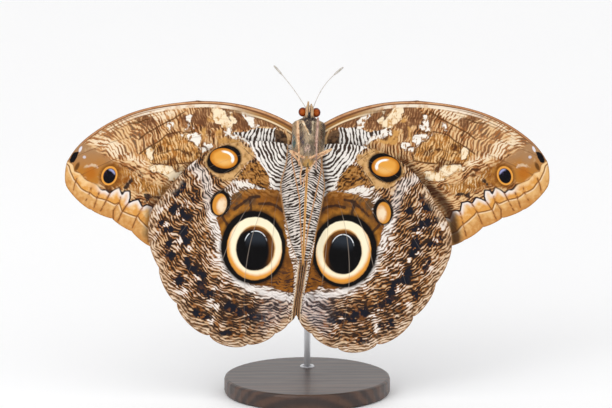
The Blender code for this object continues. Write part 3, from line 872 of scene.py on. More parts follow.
class HindwingUnderside(WingFinish):
    """The hindwing's underside: zebra root, brown ground with the large eye, and rippled outer part."""

    name = "hindwing underside"
    eye_black = Oval((15.5, -29.45), (9.75, 10.95))
    eye_cream = Oval((15.4, -29.55), (8.35, 9.5))
    eye_disc = Oval((15.2, -29.55), (5.85, 6.75))
    pupil = Oval((16.0, -30.1), (4.75, 6.05))
    glint = Oval((15.0, -28.4), (3.5, 4.2))
    spot_black = Oval((24.5, -2.8), (5.2, 4.05), -20.0)
    spot_orange = Oval((24.6, -2.5), (4.2, 3.05), 8.0)
    small_black = Oval((25.65, -16.0), (3.0, 3.95), 10.0)
    small_cream = Oval((25.85, -16.3), (2.15, 3.25), 10.0)
    bloom = {Side.RIGHT: 0.3, Side.LEFT: 0.5}

    def make(self) -> bpy.types.Material:
        """Makes the material."""
        x, y = self.x, self.y
        self.outer_part()
        self.root_part()
        self.brown_ground()
        self.small_oval()
        self.large_eye()
        self.upper_spot()
        veins = self.field("vein").rise(0.20, 0.06) * self.field("edge").rise(0.5, 3.0)
        on_eye = self.oval(x, y, self.eye_black).rise(1.1, 0.9)
        self.lay("AB9C8E", veins * (0.12 + 0.3 * on_eye))
        self.lay("9C7048", self.field("edge").rise(0.36, 0.10) * 0.7)
        self.fold()
        return self.complete()

    def outer_part(self) -> None:
        """Light ripples on brown, whitish beside the eye, with navy patches and a pale margin."""
        plan, x, y = self.plan, self.x, self.y
        ground, edge, vein = self.field("ground"), self.field("edge"), self.field("vein")
        level = self.waves(self.far - self.cell() * 0.45, self.around, 0.86, 1.0, 0.95, 1.1)
        near = ground.rise(4.2, 0.8)
        deep = ground.rise(2.0, 6.5) * edge.rise(2.6, 6.0)
        low = y.rise(-38.0, -46.0)
        blotch = self.noise(plan, 4.2, 3.0, 2.0)
        band = (self.field("navy") + self.wander(plan, 3.0, 1.5, 4.0)).rise(3.6, 1.2) * vein.rise(0.15, 0.7)
        navy = self.patch("blots", 0.45, 1.0, 0.3)
        fleck = self.patch("flecks", 0.6, 0.5, 0.2)
        shift = near * 0.12 - deep * 0.10 - band * 0.10 - navy * 0.62 - low * 0.12 + fleck * 0.45
        shift = shift + (blotch - 0.5) * 0.4
        shine = level + shift
        dull = near + low * 0.5 + self.noise(plan, 3.0, 6.0) - 0.5
        mid = self.blend("9A6434", "94755A", dull.rise(0.2, 0.8))
        dark = self.blend(self.blend("33241B", "57402F", near), "191A24", navy)
        light = self.blend("D6B48C", "EFE5DC", (near + fleck + (blotch - 0.5) * 2.0 + 0.3).rise(0.1, 0.8))
        self.colour = self.blend(dark, mid, shine.rise(0.28, 0.42))
        self.lay(light, shine.rise(0.52, 0.72))
        close = self.field("bright") + self.wander(plan, 2.4, 0.8, 7.0)
        clean = close.rise(1.0, 0.3) * y.rise(-28.0, -36.0)
        bright = close.rise(2.2, 0.6) * (0.05 + 0.5 * level.rise(0.25, 0.6)) | clean * 0.85
        self.lay("F3ECE6", bright)
        warm = self.noise(plan, 1.7, 28.0).rise(0.52, 0.66) * (low * 0.6 + edge.rise(7.0, 3.0) * 0.5)
        self.lay("A0622C", warm * shine.rise(0.75, 0.30) * 0.8)
        margin = (edge + self.wander(plan, 3.0, 0.7, 8.0)).rise(3.0, 1.0)
        pale = self.blend("6A4A32", "C6A27E", level.rise(0.22, 0.52))
        pale = self.blend(pale, "E6D0B6", level.rise(0.58, 0.80))
        self.lay(pale, margin * 0.7)
        lilac = y.rise(-40.5, -44.5) * x.rise(17.0, 9.0) * edge.rise(1.0, 3.5) * self.bloom[self.side]
        self.lay(self.blend("4E464A", "D2CACC", level.rise(0.30, 0.66)), lilac)

    def root_part(self) -> None:
        """The zebra root with its white border, the tan area and the brown one below it."""
        plan = self.plan
        level = self.waves(self.far, self.around, 1.12, 9.0, 0.6)
        stripes = level.rise(0.40, 0.56)
        grain = self.noise(plan, 1.5, 11.0, 3.0)
        tan = self.blend("D6AA72", "AE8048", grain.rise(0.45, 0.66))
        tan = self.blend(tan, "6A4424", level.rise(0.30, 0.12) * grain.rise(0.48, 0.56) * 0.7)
        self.lay(tan, self.patch("tan", 0.35, 0.6))
        ripple = self.waves(self.far, self.around, 0.95, 12.0, 1.5, 2.0)
        brown = self.blend("3A2414", "8E5C28", ripple.rise(0.10, 0.45))
        brown = self.blend(brown, "BE8A4C", ripple.rise(0.58, 0.80) * 0.8)
        self.lay(brown, self.patch("upper_brown", 0.3, 0.6))
        streak = self.patch("white_streak", 0.15, 0.8)
        self.lay("F1E9DE", streak * (0.45 + 0.55 * level.rise(0.15, 0.5)))
        zebra = self.blend("41322A", "F2ECE4", stripes)
        self.lay(zebra, self.patch("zebra", 0.15, 0.5))
        border = self.field("white_line") + self.wander(plan, 1.0, 0.45, 13.0)
        self.lay("F4EEE6", border.rise(0.50, 0.25) * level.rise(0.15, 0.45))
        lines = (self.field("brown_vein") + self.wander(plan, 1.5, 0.12, 14.0)).rise(0.24, 0.10)
        self.lay("5E3C20", lines * 0.9)

    def brown_ground(self) -> None:
        """The warm brown ground that carries the large eye."""
        plan, x, y = self.plan, self.x, self.y
        mottle = self.noise(plan, 1.8, 15.0, 4.0)
        ground = self.blend("935A1E", "6B4018", mottle.rise(0.36, 0.66))
        ripple = self.waves(self.far, self.around, 1.0, 16.0)
        lower = y.rise(-33.5, -38.0) * x.rise(15.0, 9.0)
        ground = self.blend(ground, "3A2620", ripple.rise(0.48, 0.24) * (lower * 0.85 + 0.08))
        upper = y.rise(-21.5, -15.5) * x.rise(12.0, 18.0)
        ground = self.blend(ground, "5C4630", upper * mottle.rise(0.42, 0.56) * 0.8)
        ground = self.blend(ground, "AE7A3E", y.rise(-14.6, -12.4) * ripple.rise(0.45, 0.7) * 0.7)
        glow = self.oval(x, y, self.eye_black).rise(1.28, 1.10) * y.rise(-34.0, -27.0)
        ground = self.blend(ground, "B4782A", glow * (0.35 + 0.5 * mottle.rise(0.6, 0.4)))
        arc = (self.field("dark_arc") + self.wander(plan, 1.5, 0.2, 17.0)).rise(0.62, 0.25)
        ground = self.blend(ground, "30201A", arc * 0.85)
        self.lay(ground, self.patch("ground", 0.22, 0.5))

    def large_eye(self) -> None:
        """The large eye: black rim, cream ring that turns orange outwards, dark disc, pupil and glint."""
        plan, x, y = self.plan, self.x, self.y
        stray = self.wander(plan, 1.6, 0.014, 18.0)
        up_left = (x - self.eye_black.centre[0]) * 0.0016 + (y - self.eye_black.centre[1]) * 0.0024
        rim = self.oval(x, y, self.eye_black) + stray - up_left
        self.lay("2A1B10", rim.rise(1.10, 0.98) * 0.8)
        self.lay("0C0909", rim.rise(1.015, 0.975))
        ring = self.oval(x, y, self.eye_cream) + stray
        low = (self.eye_cream.centre[1] - y) * 0.014 + (x - self.eye_cream.centre[0]) * 0.007
        cream = self.blend("FFF3D2", "E59A38", (ring + low).rise(0.86, 1.02))
        cream = self.blend(cream, "B97E3E", (ring + low * 0.5).rise(0.985, 1.03) * 0.7)
        self.lay(cream, ring.rise(1.012, 0.975))
        disc = self.oval(x, y, self.eye_disc) + stray
        pupil = self.oval(x, y, self.pupil)
        lit = y.rise(-27.0, -23.5) * x.rise(20.0, 17.0) | (x.rise(12.4, 10.4) * 0.8)
        warm = lit * pupil.rise(0.96, 1.14)
        self.lay("D9A865", disc.rise(1.07, 1.0) * (0.25 + 0.75 * warm))
        brown = self.blend("1A100A", "744418", warm)
        self.lay(brown, disc.rise(1.01, 0.95))
        arc = self.oval(x, y, self.glint)
        black = self.blend("060506", "363D47", y.rise(-29.5, -26.0) * arc.rise(1.0, 0.8) * 0.6)
        self.lay(black, pupil.rise(1.02, 0.96))
        glint = arc.rise(0.92, 0.96) * arc.rise(1.03, 0.99) * y.rise(-27.6, -26.2)
        glint = glint * self.noise(plan, 1.0, 19.0).rise(0.34, 0.50)
        self.lay("E6EAEE", glint)

    def upper_spot(self) -> None:
        """The orange spot near the front margin, with its glint."""
        plan, x, y = self.plan, self.x, self.y
        black = self.oval(x, y, self.spot_black) + self.wander(plan, 1.6, 0.03, 20.0)
        self.lay("4A2E18", black.rise(1.13, 1.0) * 0.7)
        self.lay("100B0A", black.rise(1.03, 0.96))
        spot = self.oval(x, y, self.spot_orange)
        orange = self.blend("E8A446", "C4761C", (spot + self.wander(plan, 1.5, 0.08, 21.0)).rise(0.60, 1.02))
        orange = self.blend(orange, "F2C67E", y.rise(-2.2, -4.2) * spot.rise(0.85, 0.3) * 0.75)
        self.lay(orange, spot.rise(1.03, 0.95))
        inner = (x - 24.6) * -0.75 + (y + 2.5) * 0.66
        glint = spot.rise(0.50, 0.58) * spot.rise(0.80, 0.70) * inner.rise(0.6, 1.5)
        glint = glint * (inner + (x - 22.0) * 0.8).rise(0.2, 1.0)
        self.lay("FFFDF6", glint)

    def small_oval(self) -> None:
        """The small pale oval above the eye."""
        plan, x, y = self.plan, self.x, self.y
        black = self.oval(x, y, self.small_black) + self.wander(plan, 1.2, 0.04, 27.0)
        self.lay("3A2416", black.rise(1.14, 1.0) * 0.7)
        self.lay("130D0B", black.rise(1.03, 0.94))
        cream = self.oval(x, y, self.small_cream)
        bias = (x - 25.4) * 0.22 + (y + 17.0) * 0.07
        depth = cream + bias + self.wander(plan, 0.9, 0.16, 22.0)
        inside = self.blend("F6DFBC", "D68F36", depth.rise(0.35, 1.0))
        self.lay(inside, cream.rise(1.05, 0.92))

    def fold(self) -> None:
        """The inner part that wraps the abdomen: fine zebra lines, then brown lips at the seam's end."""
        seam, fold, along = self.field("seam"), self.field("fold"), self.field("along")
        run = along + seam * along.rise(-24.0, -6.0) * 0.34 + seam * 0.30
        place = self.join(seam, along, 5.0 * self.side.value)
        level = self.waves(run, seam, 0.86, 23.0, 0.8, base=place)
        zebra = self.blend("33271F", "DCD2C8", level.rise(0.38, 0.62))
        shade_in = self.blend(zebra, "4A3C34", fold.rise(0.82, 1.08) * 0.35)
        shadow = fold.rise(0.85, 1.05) * fold.rise(1.5, 1.15) * along.rise(-27.0, -18.0)
        self.lay("2A211B", shadow * (0.65 if self.side is Side.LEFT else 0.3))
        fold = fold + along.rise(-27.0, -35.5) * 0.6
        inside = fold.rise(1.09, 1.03)
        self.lay("A77C50", fold.rise(1.15, 1.10) * along.rise(-36.0, -33.0) * 0.8)
        self.lay(shade_in, inside * along.rise(-35.2, -34.2))
        strand = self.field("strand").rise(0.26, 0.14)
        self.lay("B88454", strand * inside * along.rise(-34.0, -31.0) * 0.85)
        swing = seam + self.wander(place, 3.0, 0.25, 26.0)
        tail = along.rise(-31.5, -34.0) * swing.rise(1.2, 1.0)
        lips = self.blend("3A2A20", "9A6E46", self.lines(swing * 1.9 + 0.3).rise(0.35, 0.75))
        lips = self.blend(lips, "2A1E18", swing.rise(0.30, 0.12))
        self.lay(lips, tail * 0.95)
        pale = swing.rise(0.95, 1.1) * swing.rise(1.45, 1.25) * along.rise(-33.6, -35.2)
        self.lay("D9C3A6", pale * level.rise(0.1, 0.4))
        hem = seam.rise(0.42, 0.26) * along.rise(-35.0, -33.5) * along.rise(-4.0, -6.0)
        self.lay("DDA35C", hem * 0.95)


class ForewingUnderside(WingFinish):
    """The forewing's underside: rippled tan with cream patches, two spots, scalloped margin bands and a
    painted shadow of the hindwing.
    """

    name = "forewing underside"
    spot_ring = Oval((59.45, -7.7), (2.38, 2.95), 20.0)
    spot_black = Oval((59.45, -7.75), (1.85, 2.35), 20.0)
    tip_fleck = Oval((68.2, 0.3), (0.4, 1.0), 24.0)
    tip_dot = Oval((67.0, -2.1), (0.5, 0.45))
    tip_brown = Oval((69.2, -4.9), (0.6, 1.4), 26.0)
    blur = Oval((65.1, -6.9), (1.9, 2.1), 20.0)

    def make(self) -> bpy.types.Material:
        """Makes the material."""
        plan, x, y = self.plan, self.x, self.y
        self.ground()
        self.patches()
        self.tip()
        veins = self.field("vein").rise(0.20, 0.07)
        share = x.rise(24.0, 34.0) * 0.25 + x.rise(52.0, 58.0) * 0.35
        self.lay("7E5634", veins * share)
        self.spots()
        self.bands()
        self.front()
        self.root()
        # Painted shadow of the hindwing: a dark brown band along the hindwing's edge, stronger on the
        # animal's left wing and lower down.
        under = self.field(f"hind_edge_{self.side.word}") + self.wander(plan, 1.5, 0.3, 58.0)
        depth = 0.3 if self.side is Side.RIGHT else 0.62
        self.lay("3E2212", under.rise(2.8, 0.4) * (depth + 0.3 * y.rise(-8.0, -13.0)))
        return self.complete()

    def ground(self) -> None:
        """Tan with cream and brown ripples."""
        plan, x, y = self.plan, self.x, self.y
        dx, dy = x - 63.5, y + 4.8
        round_run = (dx * dx + dy * dy) ** 0.5
        upper = self.waves(round_run, self.math("ARCTAN2", dy, dx) * round_run, 1.0, 31.0, 0.9)
        lower = self.waves(x * 0.5 - y * 0.87, x * 0.87 + y * 0.5, 0.92, 32.0, 1.1)
        share = (y + self.wander(plan, 2.5, 0.8, 47.0)).rise(-2.2, -3.6)
        level = upper * (1.0 - share) + lower * share
        tone = self.noise(plan, 4.5, 33.0, 2.0)
        pale = self.patch("pale", 0.9, 0.8)
        shine = level + (tone - 0.5) * 0.9 + pale * 0.26
        mid = self.blend("A2683A", "C48C58", tone.rise(0.42, 0.6))
        dark = self.blend("54351F", "7E6046", x.rise(44.0, 52.0) * y.rise(-2.5, 0.5))
        self.colour = self.blend(dark, mid, shine.rise(0.12, 0.36))
        light = self.blend("E6C08E", "F3DDBC", pale)
        self.lay(light, shine.rise(0.50, 0.74))

    def patches(self) -> None:
        """The brown, cream and white patches between the veins."""
        plan, x, y = self.plan, self.x, self.y
        comb = self.waves(x * 0.98 - y * 0.2, y, 0.82, 34.0, 0.95)
        rough = self.noise(plan, 1.3, 35.0, 3.0)
        bare = rough + self.oval(x, y, self.spot_ring) * 0.05
        warm = self.blend("8E5218", "B47A36", bare.rise(0.48, 0.75))
        warm = self.blend(warm, "4E3016", comb.rise(0.35, 0.1) * x.rise(55.0, 50.0) * 0.7)
        warm = self.blend(warm, "ECCFA4", comb.rise(0.62, 0.90) * x.rise(57.0, 51.0) * 0.85)
        self.lay(warm, self.patch("warm", 1.0, 0.9) * 0.95)
        cell = self.blend("64401F", "C48A48", (comb + (rough - 0.5) * 0.9).rise(0.16, 0.52))
        cell = self.blend(cell, "C07A30", self.noise(plan, 2.6, 29.0).rise(0.50, 0.64) * 0.6)
        cell = self.blend(cell, "EBC48E", (comb + (rough - 0.5) * 1.2).rise(0.62, 0.88))
        self.lay(cell, self.patch("cell", 0.3, 0.4) * 0.92)
        brown = self.blend("6B432A", "9A6A44", (comb * 0.5 + rough - 0.25).rise(0.35, 0.75))
        brown = self.blend(brown, "D2A878", (comb * 0.4 + rough).rise(0.84, 1.0) * 0.8)
        self.lay(brown, self.patch("brown", 0.25, 0.5) * 0.94)
        ochre = self.blend("D49E58", "8A5A2C", rough.rise(0.5, 0.72))
        self.lay(ochre, self.patch("ochre", 0.4, 0.5) * 0.9)
        stripes = self.waves(self.far, self.around, 1.12, 9.0, 0.6).rise(0.40, 0.56)
        stripes = self.blend("41322A", "F2ECE4", stripes)
        self.lay(stripes, self.patch("zebra", 0.15, 0.5))
        cream = self.blend("FBE6C4", "CFA066", (rough + comb * 0.12).rise(0.54, 0.72))
        self.lay("5A3A22", self.patch("cream", 0.35, 0.5, 0.25) * 0.55)
        self.lay(cream, self.patch("cream", 0.16, 0.5))
        white = self.blend("FAF2E6", "A87C54", (rough + comb * 0.18).rise(0.60, 0.72))
        self.lay("6A4628", self.patch("white", 0.35, 0.6, 0.25) * 0.5)
        self.lay(white, self.patch("white", 0.15, 0.6))
        dark = self.patch("dark", 0.5, 0.7)
        self.lay("54301A", dark * (0.3 + 0.65 * comb.rise(0.85, 0.35)))
        lines = (self.field("cell_lines") + self.wander(plan, 1.2, 0.12, 46.0)).rise(0.34, 0.14)
        self.lay("5C381C", lines * 0.85)
        black = self.patch("black", 0.3, 0.6)
        self.lay("1D161A", black * 0.92)

    def tip(self) -> None:
        """The smooth grey-brown tip."""
        plan, y = self.plan, self.y
        haze = self.noise(plan, 3.0, 36.0, 2.0)
        tone = (y * 0.16 + haze).rise(-0.75, 0.55)
        tip = self.blend("B8782E", "AA815A", tone)
        tip = self.blend(tip, "D0AE84", self.noise(plan, 1.4, 43.0).rise(0.60, 0.72) * 0.4)
        self.lay(tip, self.patch("apex", 0.7, 0.4))
        chevron = (self.field("chevron") + self.wander(plan, 1.0, 0.1, 49.0)).rise(0.42, 0.16)
        self.lay("E2BFA6", chevron * 0.8)

    def bands(self) -> None:
        """Two scalloped bands along the margin, with dark lines and pale teeth."""
        plan, x, y = self.plan, self.x, self.y
        inner, middle = self.field("teeth"), self.field("rim")
        low = y.rise(-9.5, -13.0)
        grain = self.noise(plan, 1.3, 37.0, 2.0)
        tick = self.field("ticks") + self.wander(plan, 1.2, 0.08, 44.0)
        glow = self.blend("F2C88C", "DE9C4C", (grain - inner * 0.10 - tick * 0.06 + 0.08).rise(0.42, 0.80))
        tooth = self.blend("F8E2BE", "F3EAE6", low)
        share = 0.15 + 0.35 * x.rise(64.5, 61.0) + 0.4 * low
        teeth = self.blend(glow, tooth, inner.rise(-1.7, -0.2) * share)
        self.lay(teeth, inner.rise(0.08, -0.08))
        outer = self.blend("E6B676", "C98C4A", (grain - middle * 0.10).rise(0.45, 0.95))
        self.lay(outer, middle.rise(0.08, -0.08))
        self.lay("F6E2C4", middle.rise(-0.75, -0.45) * middle.rise(-0.12, -0.3) * 0.5)
        self.lay("231A1C", abs(inner - 0.05).rise(0.36, 0.14) * (0.12 + 0.86 * low))
        self.lay("7A4A20", abs(middle).rise(0.28, 0.10) * 0.85)
        self.lay("B87030", tick.rise(0.75, 0.15) * inner.rise(0.1, -0.1) * 0.45)
        self.lay("80522A", tick.rise(0.30, 0.10) * inner.rise(0.1, -0.1) * 0.95)
        self.lay("A9713A", self.field("edge").rise(0.30, 0.08) * 0.6)

    def spots(self) -> None:
        """The eyespot, and the marks at the tip."""
        plan, x, y = self.plan, self.x, self.y
        blur = self.oval(x, y, self.blur)
        self.lay("B86A1C", blur.rise(1.4, 0.3) * 0.85)
        flash = self.noise(plan, 1.2, 45.0).rise(0.42, 0.55) * blur.rise(0.9, 1.1) * blur.rise(1.5, 1.3)
        self.lay("D8BC98", flash * (y + 5.6).rise(0.0, 0.8) * 0.8)
        ring = self.oval(x, y, self.spot_ring)
        self.lay("74430F", ring.rise(1.55, 1.0) * 0.75)
        self.lay("E9A044", ring.rise(1.04, 0.96))
        black = self.oval(x, y, self.spot_black)
        sheen = self.noise(plan, 0.8, 48.0).rise(0.5, 0.7) * y.rise(-8.4, -6.4)
        purple = self.blend("0B090F", "3A2E4E", sheen)
        self.lay(purple, black.rise(1.05, 0.94))
        corner = (59.6 - x) * 0.8 + (y + 7.6)
        gleam = black.rise(0.50, 0.70) * black.rise(0.98, 0.84) * corner.rise(1.3, 2.1)
        self.lay("A9AEDC", gleam * 0.85)
        self.lay("5C3816", self.oval(x, y, self.tip_brown).rise(1.3, 0.6) * 0.9)
        self.lay("DAD6DE", self.oval(x, y, self.tip_dot).rise(1.3, 0.6) * 0.8)
        self.lay("E6E4EC", self.oval(x, y, self.tip_fleck).rise(1.2, 0.7) * 0.95)
        self.lay("0E0C10", self.patch("tip_spot", 0.12, 0.1))

    def front(self) -> None:
        """The stripes along the front margin."""
        plan, x = self.plan, self.x
        away = self.field("front") + self.wander(plan, 5.0, 0.06, 39.0)
        rootward, tipward = x.rise(25.0, 12.0), x.rise(38.0, 50.0)
        grain = self.noise(plan, 2.2, 40.0, 2.0)
        cream = self.blend("F5E6D0", "D9B088", grain.rise(0.5, 0.7))
        self.lay(cream, away.rise(1.95, 1.75) * (1.0 - rootward) * x.rise(60.0, 44.0))
        parallel = self.lines(away * 1.15 + 0.2).rise(0.45, 0.20) * away.rise(3.4, 2.6) * tipward
        self.lay("8A5C38", parallel * x.rise(66.0, 58.0) * 0.75)
        self.lay("7A5234", away.rise(3.0, 2.8) * rootward)
        self.lay("F2D9B0", away.rise(2.65, 2.5) * rootward)
        self.lay("A8763F", away.rise(2.15, 2.0) * rootward)
        broad = rootward * 0.45 - tipward * 0.12
        kept = x.rise(69.5, 66.0)
        brown = self.blend("6E4830", "8A5A36", grain)
        self.lay(brown, (away - broad).rise(0.95, 0.85) * kept)
        tan = self.blend("D6A478", "B98258", (grain + tipward * 0.2).rise(0.4, 0.7))
        self.lay(tan, (away - rootward * 0.2).rise(0.60, 0.50) * kept)
        self.lay("865A3A", away.rise(0.16, 0.08) * 0.8)

    def root(self) -> None:
        """The brown bare patch at the wing's root with its pale vein."""
        plan = self.plan
        olive = self.blend("3A2A20", "7E5E42", self.noise(plan, 1.4, 42.0, 3.0).rise(0.38, 0.62))
        self.lay(olive, self.patch("olive", 0.3, 0.25))
        line = self.field("olive_vein").rise(0.40, 0.18)
        self.lay("E2B680", line)


@dataclass(frozen=True)
class Upperside:
    """The wings' other face, which isn't in the photo: brown forewings and blue, dark-rimmed hindwings."""

    hind: bool
    name: str = "wing upperside"

    def make(self) -> bpy.types.Material:
        """Makes the material."""
        kind = "hind" if self.hind else "fore"
        net = Net(f"{self.name} {kind}", Roughness=0.65, Specular_IOR_Level=0.2)
        plan = net.vector("plan")
        reach, edge = net.field("reach"), net.field("edge")
        haze = net.noise(plan, 6.0, 51.0, 3.0)
        if self.hind:
            net.colour = net.blend("5E5148", "3D4F86", (reach + haze * 0.3).rise(0.20, 0.50))
            net.lay("17130F", (reach + haze * 0.25).rise(0.62, 0.88))
        else:
            net.colour = net.blend("6F6254", "4F5F83", (reach + haze * 0.4).rise(0.30, 0.62) * 0.7)
            ochre = (reach + haze * 0.2).rise(0.60, 0.70) * (reach + haze * 0.2).rise(0.90, 0.78)
            net.lay("B98A4E", ochre * 0.85)
            net.lay("2A211A", (edge + haze * 3.0).rise(6.5, 4.0) * reach.rise(0.6, 0.8))
        net.lay("8A7460", net.field("vein").rise(0.28, 0.10) * 0.35)
        net.lay("5B4C3E", edge.rise(0.4, 0.15) * 0.8)
        fine = net.noise(plan, 0.5, 52.0, 3.0)
        net.lay("000000", fine.rise(0.45, 0.75) * 0.22)
        net.feed("Base Color", net.colour)
        relief = net.noise(plan, 0.16, 53.0, 3.0) * 0.4 + net.field("vein").rise(0.3, 0.0) * 0.5
        net.bump(relief, 0.12, 0.6)
        return net.material


def trace(*numbers: float) -> Outline:
    """A line through places whose two coordinates in mm follow one another."""
    return tuple(zip(numbers[::2], numbers[1::2]))


def diamond(x: float, y: float, wide: float, tall: float) -> Outline:
    """A blot's four corners, from its middle and its half sizes."""
    return ((x - wide, y), (x, y - tall), (x + wide, y), (x, y + tall))


